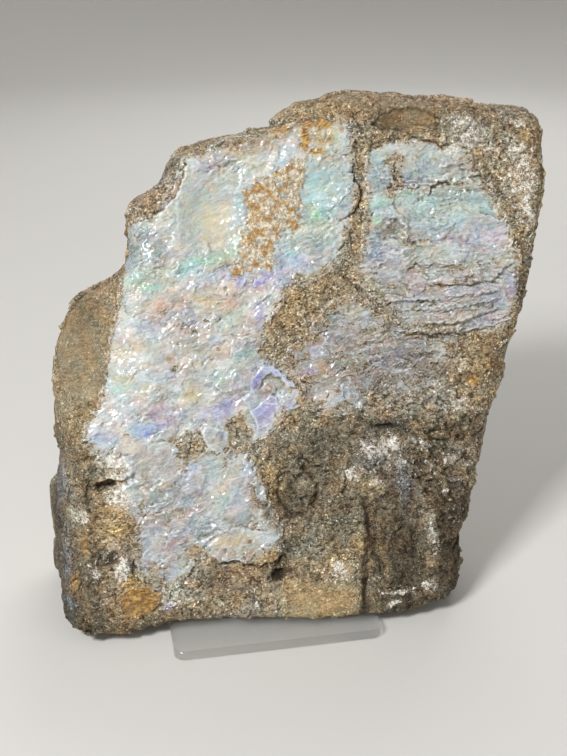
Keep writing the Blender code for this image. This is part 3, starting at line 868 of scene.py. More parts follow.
@dataclass(frozen=True)
class ColourMap:
    """The washes of colour over the opal and over the ironstone."""

    opal: tuple[Wash, ...] = strokes(
        # Upper left field: a cream dish in cool water colours.
        (Tint.MAUVE, (-9, 130, 5.5, 5, 0.75), (-28, 90.6, 5, 2.2, 0.5, 8)),
        (Tint.SEA, (-16.5, 130, 1.8, 5, 0.8), (17.6, 118, 4, 6, 0.6), (18, 108, 7, 4, 0.7)),
        (Tint.AQUA, (22, 123, 8, 7, 0.75), (-1.6, 117, 1.8, 9, 0.7), (-18, 100.2, 4.4, 1.4, 0.8, 10)),
        (Tint.CREAM, (-11, 115, 9, 10, 0.95), (1, 131, 6, 5, 0.7), (24, 133, 5, 5, 0.7),
         (-9, 86.6, 7, 3, 0.7)),
        (Tint.HONEY, (0, 134.5, 4, 2.6, 0.6), (8, 135.5, 5, 2.4, 0.7), (23, 137, 6, 4, 0.85)),
        (Tint.KHAKI, (-1, 136.8, 7, 3.4, 0.9), (8, 137.4, 8, 2.8, 0.85)),
        (Tint.GOLD_BROWN, (-2, 137, 6, 2.6, 0.85), (15, 141.6, 5, 1.8, 0.85)),
        (Tint.HONEY, (13, 139, 6, 1.6, 0.6), (-4, 134, 3, 1.4, 0.5)),
        (Tint.TEAL, (-32, 109, 5, 8, 0.8)),
        (Tint.SLATE, (-32, 110, 4, 5, 0.6)),
        (Tint.WARM_CREAM, (13.6, 113.6, 3, 4, 0.6)),
        (Tint.SNOW, (-20, 121, 3, 3, 0.8), (13.5, 135, 2.6, 3, 0.8), (29.6, 137, 1.6, 3.4, 0.7)),
        (Tint.MINT, (22, 114, 4, 3, 0.6), (-14, 102.8, 8, 1.9, 0.9, 6), (-5, 106, 5, 1.6, 0.6, 24),
         (-32, 99.5, 4, 2.6, 0.8)),
        (Tint.GREEN_FIRE, (21, 114.2, 1.2, 1, 0.95), (-30, 96.4, 3.2, 0.8, 0.65, 4)),
        (Tint.SKY, (9.5, 100.8, 3.4, 3.4, 0.8), (14, 102.6, 4, 2.2, 0.6), (-9, 99.6, 3.4, 1.1, 0.7, 15)),
        (Tint.AQUA_FIRE, (11.6, 104.2, 1.8, 1.5, 0.75)),
        (Tint.LILAC, (20, 100.4, 6, 2.4, 0.6, 20), (-10, 97.6, 9, 2, 0.7, 10), (9, 96.6, 5, 2, 0.6, 14),
         (-15, 89, 4, 1.8, 0.5), (-2, 81.6, 4, 4, 0.5)),
        (Tint.SAGE, (-27.5, 106, 5.4, 5.4, 0.85)),
        (Tint.VIOLET, (-2.6, 96.8, 3, 1.7, 0.75), (5.2, 98.2, 2.8, 1, 0.75, -15), (2, 86, 2.2, 4.5, 0.8)),
        (Tint.BLUE_FIRE, (2.6, 96.4, 1.5, 1.1, 0.95, -10)),
        (Tint.PEACH, (-19, 92.6, 11, 3, 0.8, 8), (-6, 92, 6, 3, 0.65)),
        # Left field: nearly white, warmer and then bluer towards the middle of the stone.
        (Tint.SNOW, (-33, 82, 6, 8, 0.8), (-35, 69, 8, 10, 0.8), (-24, 77, 5, 6, 0.5),
         (-25, 65, 4, 5, 0.5)),
        (Tint.LILAC, (-18, 84, 6, 3.4, 0.6), (-13.4, 53.6, 3, 3.4, 0.5), (-28, 86.6, 5, 2, 0.7, 10),
         (-38, 82, 2.4, 2, 0.6)),
        (Tint.PEACH, (-22, 86, 3, 2.4, 0.5), (-6, 66, 4, 3, 0.6), (-25, 91.4, 4, 1.5, 0.8, 6)),
        (Tint.CREAM, (-14, 77, 7, 5, 0.7)),
        (Tint.SKY, (-4, 76, 4, 3, 0.6, 20), (-46, 55, 4.6, 4, 0.85), (-33, 57.2, 4.2, 3, 0.85),
         (-2, 68, 1.2, 3.6, 0.8, -24), (1, 58, 2.6, 5, 0.8, -18), (-16, 54, 1.4, 3, 0.6, 20),
         (-24, 72, 3, 2, 0.5)),
        (Tint.HONEY, (-18.4, 65, 2.2, 2.8, 0.6)),
        (Tint.MAUVE, (-7, 69.6, 6, 3.4, 0.6, 20), (-28, 63.4, 3, 2.2, 0.5), (3.4, 66, 3.6, 3.6, 0.6)),
        (Tint.VIOLET, (-9, 61.8, 6, 2, 0.75, 14), (-27, 59, 4, 2.4, 0.65, 30),
         (1.4, 71.4, 4, 0.9, 0.7, 10), (3.4, 61.6, 3, 1.6, 0.7), (8.4, 60.4, 2.6, 1.8, 0.8, 30)),
        (Tint.BLUE_FIRE, (-32.6, 55.8, 1.9, 1.1, 0.95)),
        (Tint.GREEN_FIRE, (-40.6, 68.6, 1.8, 1, 0.45)),
        (Tint.BEIGE, (-19, 80, 6, 3.4, 0.7, 10)),
        (Tint.PINK_BROWN, (0, 79, 5, 4, 0.7, 30), (-1, 48, 4, 4, 0.7)),
        (Tint.GREY_BROWN, (-30, 60.4, 4, 1.6, 0.5, 20)),
        (Tint.SAND, (-21, 51, 4, 4, 0.8), (-9, 51, 5, 4, 0.8)),
        (Tint.WARM_CREAM, (-36, 80, 4, 3, 0.6, 10), (-30.5, 79.6, 3.4, 2, 0.7),
         (-38.4, 71.4, 2.6, 1.6, 0.8), (-8, 95, 6, 2, 0.5, 6), (-4, 84, 2, 3, 0.6)),
        (Tint.RUST_VEIL, (-24.4, 77, 1.6, 1.2, 0.6), (-20.4, 73.4, 1.8, 1.8, 0.6)),
        # Foot of the left side.
        (Tint.COLD_MILK, (-31, 50, 8, 5, 0.7), (-16.6, 44, 4, 4, 0.7)),
        (Tint.ICE, (-18, 32, 18, 14, 0.75), (-29, 21, 6.4, 7.4, 0.85)),
        (Tint.MAUVE, (-29, 37, 7, 6, 0.75), (-3.4, 35, 3, 5, 0.7)),
        (Tint.PEACH, (-32, 40, 4, 3, 0.4)),
        (Tint.CREAM, (-13, 38, 4, 6, 0.6, -24)),
        (Tint.WARM_CREAM, (-9.6, 23, 9, 3, 0.75, 4)),
        (Tint.AQUA, (-11, 34, 3, 4, 0.4, -24)),
        (Tint.SKY, (-6, 41, 1.4, 3.4, 0.5, -20)),
        (Tint.SNOW, (-32, 25, 2.4, 2, 0.5), (-3, 22.6, 3, 1.5, 0.6)),
        (Tint.SAND, (-19, 20, 5, 3, 0.6), (-8, 19, 7, 1.8, 0.8)),
        (Tint.BEIGE, (-1, 31, 3, 5, 0.7)),
        (Tint.GREY_BROWN, (-36, 36, 3, 5, 0.5, 20)),
        (Tint.RUST_VEIL, (-30, 22, 2.4, 1.8, 0.6, 30), (-35, 18, 1.4, 2.4, 0.6), (-27, 20, 1.8, 1.2, 0.6),
         (-26, 32, 2.6, 1.2, 0.8, 20), (-20, 36, 1.2, 3, 0.35, -20), (-24, 24, 2, 1, 0.5)),
        (Tint.GREY_BROWN, (-22, 28, 18, 17, 0.42), (-30, 46, 12, 6, 0.3)),
        (Tint.SKY, (-30, 15.6, 2.4, 1.8, 0.6), (-22, 42, 1.4, 4, 0.5, -10)),
        (Tint.HONEY, (-22, 33, 1.6, 1, 0.4), (-4, 21.4, 1.2, 1, 0.6), (-9.6, 22.4, 5, 1.4, 0.5, 6)),
        (Tint.KHAKI, (2.4, 27.4, 3, 3, 0.7), (36.4, 95, 4, 4, 0.5), (30, 84, 3, 3, 0.6)),
        # Right field: grey-green water above, lilac below.
        (Tint.SEA, (58, 118, 26, 14, 0.5), (55, 126, 6, 4, 0.7)),
        (Tint.TEAL, (43, 126, 8, 6, 0.7), (37.4, 106, 3, 4, 0.8), (56, 109, 4, 2.8, 0.6)),
        (Tint.SLATE, (46, 121, 6, 2, 0.5)),
        (Tint.SKY, (72, 106, 5, 3, 0.6)),
        (Tint.SNOW, (45, 133.6, 6, 1.3, 0.85, -2), (65, 128.6, 6, 2.6, 0.8)),
        (Tint.CREAM, (66, 128, 5, 4, 0.7)),
        (Tint.SAGE, (63, 121, 10, 2, 0.7), (60, 116.6, 6, 3, 0.5)),
        (Tint.MINT, (40, 117.2, 4, 1.6, 0.85), (70, 114, 8, 4, 0.5)),
        (Tint.GREEN_FIRE, (37.6, 112.4, 1.6, 0.9, 0.6, -20)),
        (Tint.LILAC, (66, 104.4, 12, 3.6, 0.8), (40, 102.4, 6, 2.8, 0.85), (72, 88, 9, 5, 0.75)),
        # The dark dish: partly its own colour, partly painted shade.
        (Tint.SHADED_DISH_OLIVE, (42.6, 110, 4.6, 2.6, 0.95)),
        (Tint.HONEY, (45.4, 108.6, 1.6, 0.9, 0.4)),
        (Tint.AQUA, (52, 116.6, 5, 3.4, 0.7), (62, 111, 5, 1.6, 0.6, 10)),
        (Tint.PEACH, (45.6, 115.4, 1.8, 1.8, 0.6)),
        (Tint.COLD_MILK, (72, 108.4, 7, 3.6, 0.8)),
        (Tint.VIOLET, (78.6, 90, 1.6, 3, 0.8)),
        (Tint.MAUVE, (41, 95, 8, 3.6, 0.8), (58, 86, 9, 4, 0.75)),
        (Tint.BEIGE, (62, 97.6, 12, 2.6, 0.6)),
        (Tint.TEAL, (25, 120, 5, 9, 0.3), (20, 106, 5, 3, 0.3), (50, 117, 12, 8, 0.25)),
        (Tint.GREY_BROWN, (47, 123, 7, 2, 0.5, 4), (62, 127, 7, 3, 0.4), (57, 98, 20, 3, 0.3),
         (54, 92, 22, 1.6, 0.5, 2), (58, 83, 22, 5, 0.35), (64, 120, 8, 1.2, 0.5, 5)),
        # Middle: stained remains of the seam.
        (Tint.GREY_BROWN, (36, 74, 26, 14, 0.95), (58, 92, 22, 12, 0.2), (2, 62, 10, 12, 0.3)),
        (Tint.MAUVE, (27, 80, 8, 7, 0.7)),
        (Tint.OLIVE_SAND, (34, 69, 18, 5, 0.7)),
        (Tint.SLATE, (22, 82, 5, 5, 0.7), (43, 72, 9, 4, 0.8), (34, 69, 5, 3, 0.5)),
        (Tint.ICE, (32, 85, 3.4, 1.4, 0.6), (17, 75, 3, 2.4, 0.6, 30)),
        (Tint.PINK_BROWN, (15, 68, 7, 5, 0.8)),
        (Tint.SKY, (24.6, 60, 4, 2.6, 0.6)),
        (Tint.VIOLET, (15, 69.6, 2.4, 1.4, 0.5)),
    )
    earth: tuple[Wash, ...] = strokes(
        # The low step and the strip at the left, whose dark brown is painted shade.
        (Tint.UMBER, (-56, 20, 7, 30, 0.6), (-52, 12, 5, 9, 0.85), (-36, -0.5, 8, 2.6, 0.8),
         (-24, 0.5, 7, 3, 0.7)),
        (Tint.KHAKI, (-50, 84, 12, 20, 0.95), (-53, 64, 8, 12, 0.9)),
        (Tint.OLIVE_SAND, (-51, 46, 6, 7, 0.8)),
        (Tint.SHADE_BROWN, (-60.5, 36, 4.6, 26, 0.95), (-58, 6, 4.6, 16, 0.85)),
        (Tint.SLATE, (-58.5, 42, 1.6, 7, 0.7, 6), (-58, 18, 1.3, 5, 0.6, -6)),
        (Tint.DARK_UMBER, (-50, 0, 6, 5, 0.7)),
        (Tint.OLIVE, (-49, 20, 4, 5, 0.85)),
        (Tint.GREY_BROWN, (-41, 19, 4, 5, 0.8), (-9, 2, 7, 4, 0.85), (1, 34, 4, 8, 0.7)),
        (Tint.GOLD_BROWN, (-38, 8, 8, 5, 0.8)),
        (Tint.BEIGE, (-25, 9, 7, 4, 0.85), (1, 50, 9, 5, 0.7)),
        (Tint.RED_BROWN, (-12, 12, 9, 6, 0.9), (-40, 2, 6, 3, 0.7), (-56, 13, 2, 2.4, 0.8),
         (-46, 8, 2.6, 6, 0.8)),
        (Tint.ICE, (-56.4, 45, 0.9, 4, 0.4, 8), (-57.4, 24, 0.8, 4, 0.4, -4), (-58, 9, 1, 1.6, 0.4)),
        (Tint.CREAM, (-54.6, 33, 1.2, 3, 0.6), (-27, 9, 2, 1.4, 0.8), (-34.4, 35, 1, 2, 0.5)),
        (Tint.GOLD_BROWN, (-43, 31, 7, 6, 0.9)),
        (Tint.GOLD_SAND, (-43, 30, 4, 3, 0.8)),
        (Tint.DARK_UMBER, (-51, 40, 1.2, 8, 0.8, 6), (-50.4, 20, 1.1, 9, 0.8, -4),
         (-45.4, 21, 2, 2.4, 0.8)),
        (Tint.LILAC, (-30, 6, 2, 1.4, 0.7), (-35.4, 18, 1.4, 3, 0.5)),
        # The foot and the hollows. The dark washes here are partly the stone's own colour and partly
        # painted shade in the hollow, the trough and the lower right.
        (Tint.SAND, (10, 50, 7, 5, 0.6), (2.6, 40, 3, 7, 0.9)),
        (Tint.OLIVE_SAND, (12, 20, 9, 8, 0.9), (26.5, 26, 2.2, 9, 0.8, 6), (37, 0, 8, 3, 0.8)),
        (Tint.OLIVE, (21, 22, 6, 9, 0.8), (17, 42, 14, 13, 0.95), (42, 36, 8, 10, 0.8),
         (52, 44, 7, 5, 0.8)),
        (Tint.UMBER, (3, 12, 5, 3, 0.8, 20), (31, 14, 3, 16, 0.5), (53, 32, 6, 8, 0.85),
         (60, 50, 8, 4, 0.8)),
        (Tint.GOLD_SAND, (13, 1.6, 12, 6, 0.95)),
        (Tint.BEIGE, (1, 2, 4, 4, 0.6), (46.6, 19, 1.8, 9, 0.8)),
        (Tint.DARK_OLIVE, (9, 33, 7, 6, 0.9), (22, 47, 8, 5, 0.6), (36, 12, 9, 20, 0.95),
         (40, 52, 14, 3.4, 0.9, -4)),
        (Tint.SLATE, (33, 44, 8, 6, 0.55)),
        (Tint.DARK_UMBER, (42, 22, 14, 24, 0.5), (57, 28, 5, 8, 0.7), (38, 0, 14, 4, 0.6),
         (50, 12, 4, 9, 0.4), (54.5, 12, 5, 22, 0.95), (41, 12, 3.6, 14, 0.7), (52, -2, 6, 5, 0.8)),
        (Tint.GREY_BROWN, (61, 41, 4, 5, 0.7)),
        (Tint.DARK_UMBER, (4.4, 35, 1.5, 6, 0.85, 4), (8.6, 28.2, 4.4, 1.2, 0.85, -6),
         (15, 31.6, 3.2, 1, 0.9, 50), (4, 16, 2.4, 7, 0.85, -24), (26, 5, 0.9, 8, 0.8, 2),
         (30.4, 18, 1.2, 9, 0.5, 3), (51.6, 22, 1.6, 8, 0.8, 4), (38, 52, 7, 1.2, 0.8, -4),
         (47, 40, 2, 5, 0.6, 10), (54, 44, 5, 1.2, 0.7, -20)),
        (Tint.GOLD_BROWN, (28.6, 16, 0.9, 7, 0.6, 3), (33, 14, 0.9, 9, 0.5), (47.6, 52, 3, 1.4, 0.9),
         (52, 36, 1, 4, 0.6, 20), (24, 44, 4, 1.4, 0.5, 30)),
        (Tint.SLATE, (41.5, 35, 3, 7, 0.7, 8), (57, 33, 1.6, 4, 0.5)),
        (Tint.BEIGE, (50, 58, 14, 3, 0.5, -6)),
        # The middle and right.
        (Tint.SAND, (18, 92, 13, 7, 0.9, 38), (28, 103, 5, 7, 0.8), (33, 118, 3, 14, 0.7),
         (78, 122, 3, 10, 0.5)),
        (Tint.GOLD_SAND, (12, 90, 7, 4, 0.6, 38)),
        (Tint.GREY_BROWN, (40, 66, 18, 9, 0.95)),
        (Tint.BEIGE, (54, 60, 9, 4, 0.7), (50, 82, 18, 6, 0.7), (32, 92, 5, 3, 0.7)),
        (Tint.GOLD_BROWN, (86, 126, 3.4, 17, 0.8)),
        (Tint.SLATE, (44, 72, 9, 4, 0.6)),
        (Tint.GOLD_BROWN, (66, 67, 7, 9, 0.9)),
        (Tint.PINK_BROWN, (14, 74, 8, 8, 0.7)),
        (Tint.UMBER, (80, 108, 2.4, 6, 0.4)),
        # The rims.
        (Tint.UMBER, (56, 146, 30, 6, 0.5)),
        (Tint.PINK_BROWN, (58, 147, 30, 4, 0.9)),
        (Tint.GOLD_BROWN, (22, 145, 9, 4, 0.8), (48, 140.6, 10.4, 3.8, 0.9, -2)),
        (Tint.UMBER, (48, 141, 10, 3.2, 0.8, -2)),
        (Tint.BEIGE, (66, 137, 8, 4, 0.8), (10, 143, 5, 2.4, 0.6)),
        (Tint.DARK_UMBER, (50, 10, 6, 12, 0.8), (26, 0, 3, 4, 0.85), (65, 50, 4, 6, 0.6),
         (72, 69, 3, 6, 0.5), (57, 28, 4, 7, 0.6), (81, 92, 2.4, 5, 0.8), (-51, 4, 3, 4, 0.5)),
        (Tint.UMBER, (-48, 91, 7, 7, 0.6), (-40, 2, 6, 3, 0.6), (-53, 52, 4, 6, 0.6)),
        (Tint.GOLD_SAND, (3, 39, 2.4, 5, 0.9), (-40, 14, 4, 2.4, 0.9), (-43, 29, 5, 3.4, 0.6),
         (26, 20, 1.8, 5, 0.8), (19.5, 14, 4, 3, 0.7)),
        (Tint.HONEY, (-40, 14, 2.4, 1.4, 0.5), (-44, 29, 2.4, 1.6, 0.5)),
        (Tint.GREY_BROWN, (80, 142, 7, 3, 0.5), (-25, 126, 12, 5, 0.8, 45)),
    )


# ------------------------ the stone


@dataclass
class Surface:
    """One fine mesh as arrays, in the face's frame and in millimetres."""

    points: Array
    edges: Array
    normals: Array | None = None
    fields: dict[str, Array] = field(default_factory=dict)

    def neighbour_mean(self, values: Array, rounds: int = 1) -> Array:
        """Average each point's value with its neighbours, rounds times over."""
        count = len(values)
        first, second = self.edges.T
        degree = np.bincount(first, minlength=count) + np.bincount(second, minlength=count)
        result = values.copy()
        for _ in range(rounds):
            total = np.bincount(first, result[second], count) + np.bincount(second, result[first], count)
            result = 0.5 * result + 0.5 * total / degree
        return result

    def smooth_points(self, rounds: int) -> None:
        """Even out the points' places."""
        self.points = np.stack([self.neighbour_mean(axis, rounds) for axis in self.points.T], 1)


class Ground:
    """What every part of the stone's face shares: its zones, its relief and its noise."""

    REACH = 3.0

    def __init__(self, zones: StoneMap, relief: ReliefMap, plates: PlateMap, colours: ColourMap,
                 noise: Noise) -> None:
        """Keep the maps and the noise."""
        self.zones = zones
        self.relief = relief
        self.plates = plates
        self.colours = colours
        self.noise = noise

    def ragged(self, points: Array, broad: float, fine: float) -> Array:
        """Shift the points' places on the face by noise, so that drawn edges turn natural."""
        wander = self.noise.drift(points, 7.0, 3, 1, 2)
        fray = self.noise.drift(points, 1.9, 2, 3, 4)
        return points[:, :2] + broad * wander + fine * fray

    def seam_depth(self, points: Array) -> Array:
        """Return how far inside the opal fields each point lies, in millimetres."""
        return depth_in(self.zones.opal_zones, self.ragged(points, 0.9, 0.8))

    def opal_depth(self, points: Array) -> Array:
        """Return the same depth, with gaps where sand and rust lie over the opal."""
        firm = smooth_step(*self.zones.firm_u, points[:, 0]) * smooth_step(*self.zones.firm_v, points[:, 1])
        firm = firm[:, None]
        spots = points[:, :2] + (1.0 - 0.75 * firm) * (self.ragged(points, 0.9, 1.1) - points[:, :2])
        gaps = 0.5 + 1.3 * self.noise.layered(points, 3.4, 3, 5)
        depth = np.max([zone.depth(spots) - zone.broken * gaps for zone in self.zones.opal_zones], axis=0)
        depth *= 1.0 + 2.5 * firm[:, 0]
        for island in self.zones.islands:
            near = island.near(spots, 3.0)
            reach = island.distance(spots[near]) + 0.35 * self.noise.layered(points[near], 1.7, 2, 6)
            depth[near] = np.minimum(depth[near], (reach - 1.0) * min(island.half_u, island.half_v))
        stained = self.gather(self.zones.stains, self.ragged(points, 1.6, 1.4), points, 0.0, 6)
        streaks = self.noise.layered(points * (0.6, 1.2, 1.0), 2.6, 4, 49)
        bare = np.minimum(depth, self.REACH) - 3.6 * stained * (1.0 + 1.3 * streaks)
        return np.clip(bare, -self.REACH, self.REACH)

    def gather(self, spots: Sequence[Spot], places: Array, points: Array, broken: float,
               salt: int) -> Array:
        """Join soft ovals into one ragged field.

        Args:
            spots: The ovals.
            places: Where each point counts as lying on the face.
            points: The points themselves, for the noise.
            broken: How strongly noise eats into the ovals.
            salt: Picks the noise.

        Returns:
            A cover from 0 to 1.
        """
        cover = np.zeros(len(points))
        for spot in spots:
            near = spot.near(places)
            cover[near] = np.maximum(cover[near], spot.cover(places[near]))
        if not broken:
            return cover
        eaten = cover - broken * (0.5 - 0.5 * self.noise.layered(points, 1.8, 2, salt))
        return np.clip(eaten * (1.0 + 0.5 * broken), 0.0, 1.0)

    def mark(self, surface: Surface, front: Array | float = 1.0) -> None:
        """Store the fields that the materials share."""
        points = surface.points
        places = self.ragged(points, 1.0, 0.9)
        exact = self.ragged(points, 0.4, 0.35)
        fields = surface.fields
        fray = 0.9 * self.noise.layered(points, 2.0, 3, 43)
        patch = smooth_step(-1.6, 1.0, self.zones.rust_patch.depth(places) + fray)
        fields["rust"] = front * np.maximum(self.gather(self.zones.rust, places, points, 0.45, 7), patch)
        fields["chalk"] = front * self.gather(self.zones.chalk, places, points, 0.2, 8)
        fields["amber"] = front * self.gather(self.zones.amber, exact, points, 0.3, 9)
        # The dark field is painted shade in holes, cracks and under ledges.
        fields["dark"] = front * self.gather(self.zones.dark, exact, points, 0.6, 10)
        fields["opal"] = self.opal_depth(points) - 2.0 * self.REACH * (1.0 - front)

    def placed_relief(self, points: Array) -> Array:
        """Return the placed relief at the points."""
        exact = self.ragged(points, 0.6, 0.7)
        rise = np.zeros(len(points))
        for line in self.relief.lines:
            near = line.near(exact)
            rise[near] += line.rise(exact[near])
        for dish in self.relief.dishes:
            near = dish.near(exact, 1.0)
            reach = np.minimum(dish.distance(exact[near]), 1.0)
            rise[near] -= dish.strength * (1.0 - reach ** 2)
        for pit in self.relief.pits:
            near = pit.near(exact, 1.8)
            reach = pit.distance(exact[near]) + 0.4 * self.noise.layered(points[near], 2.6, 3, 48)
            rise[near] -= pit.strength * (1.0 - smooth_step(0.3, 1.2, reach))
        return rise

    def set_plates(self, plates: Sequence[Plate], points: Array, rise: Array,
                   fields: dict[str, Array], front: Array | float = 1.0) -> None:
        """Set plates into the relief and note where they lie and what colour they have.

        Args:
            plates: The plates, the upper ones last.
            points: The points before they move.
            rise: How far each point moves out, which this method changes.
            fields: The surface's fields, where it keeps the cover, the colour and the painted edge
                highlight.
            front: How much each point faces the front.
        """
        exact = self.ragged(points, 0.3, 0.3)
        frayed = self.ragged(points, 1.0, 1.5)
        patchy = smooth_step(-0.15, 0.3, self.noise.layered(points, 2.8, 3, 74))
        faint = 0.25 * self.noise.layered(points, 2.2, 3, 71)
        share = np.broadcast_to(front, len(points))
        cover = np.zeros(len(points))
        tints = np.zeros((len(points), 3))
        for item in plates:
            near = item.near(exact)
            loose = 1.0 - item.clean
            depth, level, tint = item.read(exact[near] + loose * (frayed[near] - exact[near]))
            inside = smooth_step(-0.2 - 0.6 * loose, 0.25 + 0.8 * loose, depth) * share[near]
            rise[near] += (0.85 - 0.6 * loose) * inside * (level + faint[near] - rise[near])
            tints[near] += inside[:, None] * (tint - tints[near])
            solid = inside * (0.9 - 0.5 * loose)
            cover[near] = np.maximum(cover[near], solid)
            # A painted highlight along each plate's broken edge goes into the line field.
            rim = item.rim * np.exp(-((depth - 0.15) / 0.4) ** 2) * share[near]
            rim = rim * (1.0 - loose * (1.0 - patchy[near]))
            fields["line"][near] = np.maximum(fields["line"][near] * (1.0 - solid), rim)
        fields["plate"] = cover
        fields["plate_tint"] = tints

    def brush(self, colours: Array, strokes: Sequence[Wash], points: Array,
              share: Array | None = None) -> None:
        """Lay washes over the colours, one after the other."""
        spots = self.ragged(points, 1.3, 0.8)
        for stroke in strokes:
            near = stroke.spot.near(spots, 2.0)
            cover = stroke.spot.cover(spots[near])
            if share is not None:
                cover = cover * share[near]
            colours[near] += cover[:, None] * (stroke.tint.rgb - colours[near])

    def paint(self, surface: Surface) -> None:
        """Mix the two colours of every point: what it shows as opal and as ironstone."""
        noise, points, fields = self.noise, surface.points, surface.fields
        front = fields["front"]
        opal = np.tile(Tint.MILK.rgb, (len(points), 1))
        self.brush(opal, self.colours.opal, points)
        earth = np.tile(Tint.SAND.rgb, (len(points), 1))
        for tint, strength, low, high, size, salt, share in (
                (Tint.UMBER, 0.5, 0.0, 0.4, 16.0, 61, 1.0 - 0.5 * front),
                (Tint.GOLD_SAND, 0.4, 0.0, 0.4, 10.0, 62, 1.0),
                (Tint.DARK_UMBER, 0.8, 0.0, 0.5, 21.0, 63, 1.0 - front),
                (Tint.RUST, 0.3, 0.25, 0.6, 13.0, 64, 1.0),
                (Tint.GREY_BROWN, 0.5, 0.1, 0.5, 8.0, 65, 1.0),
                (Tint.DARK_OLIVE, 0.5, 0.05, 0.45, 5.0, 67, 1.0),
                (Tint.BEIGE, 0.5, 0.1, 0.5, 4.0, 68, 1.0)):
            cover = share * strength * smooth_step(low, high, noise.layered(points, size, 4, salt))
            earth += cover[:, None] * (tint.rgb - earth)
        self.brush(earth, self.colours.earth, points, smooth_step(-36.0, -20.0, points[:, 2]))
        worn = np.clip(0.8 + noise.layered(points, 3.0, 3, 72), 0.0, 1.0)
        plate_share = (fields["plate"] * worn)[:, None]
        if fields["on_stone"]:
            earth += plate_share * (fields["plate_tint"] - earth)
        fields["earth_tint"] = earth
        thin = 0.75 * smooth_step(2.4, -0.4, fields["opal"] + 1.3 * noise.layered(points, 2.6, 3, 66))
        stained = np.minimum(earth * 1.35 + 0.03, 1.0)
        opal = opal + thin[:, None] * (stained - opal)
        if not fields["on_stone"]:
            opal += plate_share * (fields["plate_tint"] - opal)
        toned = opal * (1.0 + fields["tone"][:, None]) + fields["flake_tint"]
        fields["opal_tint"] = np.clip(toned, 0.0, 1.0)

    @staticmethod
    def mark_edges(surface: Surface, close_rounds: int, broad_rounds: int, gain: float) -> None:
        """Store where the surface stands out, above a half, or lies in, below it; the material paints
        highlights on crests and shade in hollows from it.
        """
        rise = surface.fields["rise"]
        close = surface.neighbour_mean(rise, close_rounds)
        broad = surface.neighbour_mean(rise, broad_rounds)
        stands_out = 0.5 * (close - broad) + 2.0 * (rise - close)
        surface.fields["edge"] = np.clip(0.5 + gain * stands_out, 0.0, 1.0)


FIELDS = ("opal", "rust", "chalk", "amber", "dark", "edge", "line", "calm")
TINTS = ("opal_tint", "earth_tint")


def store(mesh: bpy.types.Mesh, surface: Surface, values: Sequence[str], tints: Sequence[str]) -> None:
    """Write fields into the mesh for its material to read."""
    for name in values:
        layer = mesh.attributes.new(name, "FLOAT", "POINT")
        layer.data.foreach_set("value", surface.fields[name].astype(np.float32))
    for name in tints:
        layer = mesh.attributes.new(name, "FLOAT_COLOR", "POINT")
        colours = np.hstack([surface.fields[name], np.ones((len(mesh.vertices), 1))])
        layer.data.foreach_set("color", colours.astype(np.float32).ravel())


@dataclass
class StoneForm:
    """The smooth form under all the relief, made from the CAD solid."""

    node: str = "opal_stone"
    voxel: float = 1.75
    smoothing: int = 5
    weld: float = 0.001
    depth: float = 45.0
    clear_w: float = 60.0
    face: FaceFrame = field(default_factory=FaceFrame)

    def smooth_mesh(self, source: bpy.types.Object) -> bpy.types.Mesh:
        """Make an even mesh of quads in the face's frame.

        Args:
            source: The CAD node's object, which stays as it is.

        Returns:
            The new mesh.
        """
        rough = source.data.copy()
        rough.transform(self.face.to_world().inverted())
        mesh = bmesh.new()
        mesh.from_mesh(rough)
        bmesh.ops.remove_doubles(mesh, verts=mesh.verts, dist=self.weld)
        mesh.to_mesh(rough)
        mesh.free()
        item = add_object("stone_form", rough)
        remesh = item.modifiers.new("even_mesh", "REMESH")
        remesh.mode = "VOXEL"
        remesh.voxel_size = self.voxel
        smooth = item.modifiers.new("smooth", "SMOOTH")
        smooth.factor = 0.5
        smooth.iterations = self.smoothing
        even = evaluated_mesh(item)
        bpy.data.objects.remove(item)
        even.materials.clear()
        return even

    def heights(self, mesh: bpy.types.Mesh, spots: Array) -> Array:
        """Look straight at the face and return how far out the form stands at each spot."""
        shell = bmesh.new()
        shell.from_mesh(mesh)
        tree = BVHTree.FromBMesh(shell)
        shell.free()
        down = Vector((0.0, 0.0, -1.0))
        hits = (tree.ray_cast(Vector((u, v, self.clear_w)), down)[0] for u, v in spots)
        return np.array([hit.z if hit is not None else math.nan for hit in hits])

    def keep_inside(self, points: Array) -> Array:
        """Keep points on the stand and inside the CAD solid's box."""
        low, high = (np.array(corner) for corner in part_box(self.node))
        points = points.copy()
        points[:, 2] = np.maximum(points[:, 2], -self.depth)
        return self.face.points_to_face(np.clip(self.face.points_to_world(points), low, high))


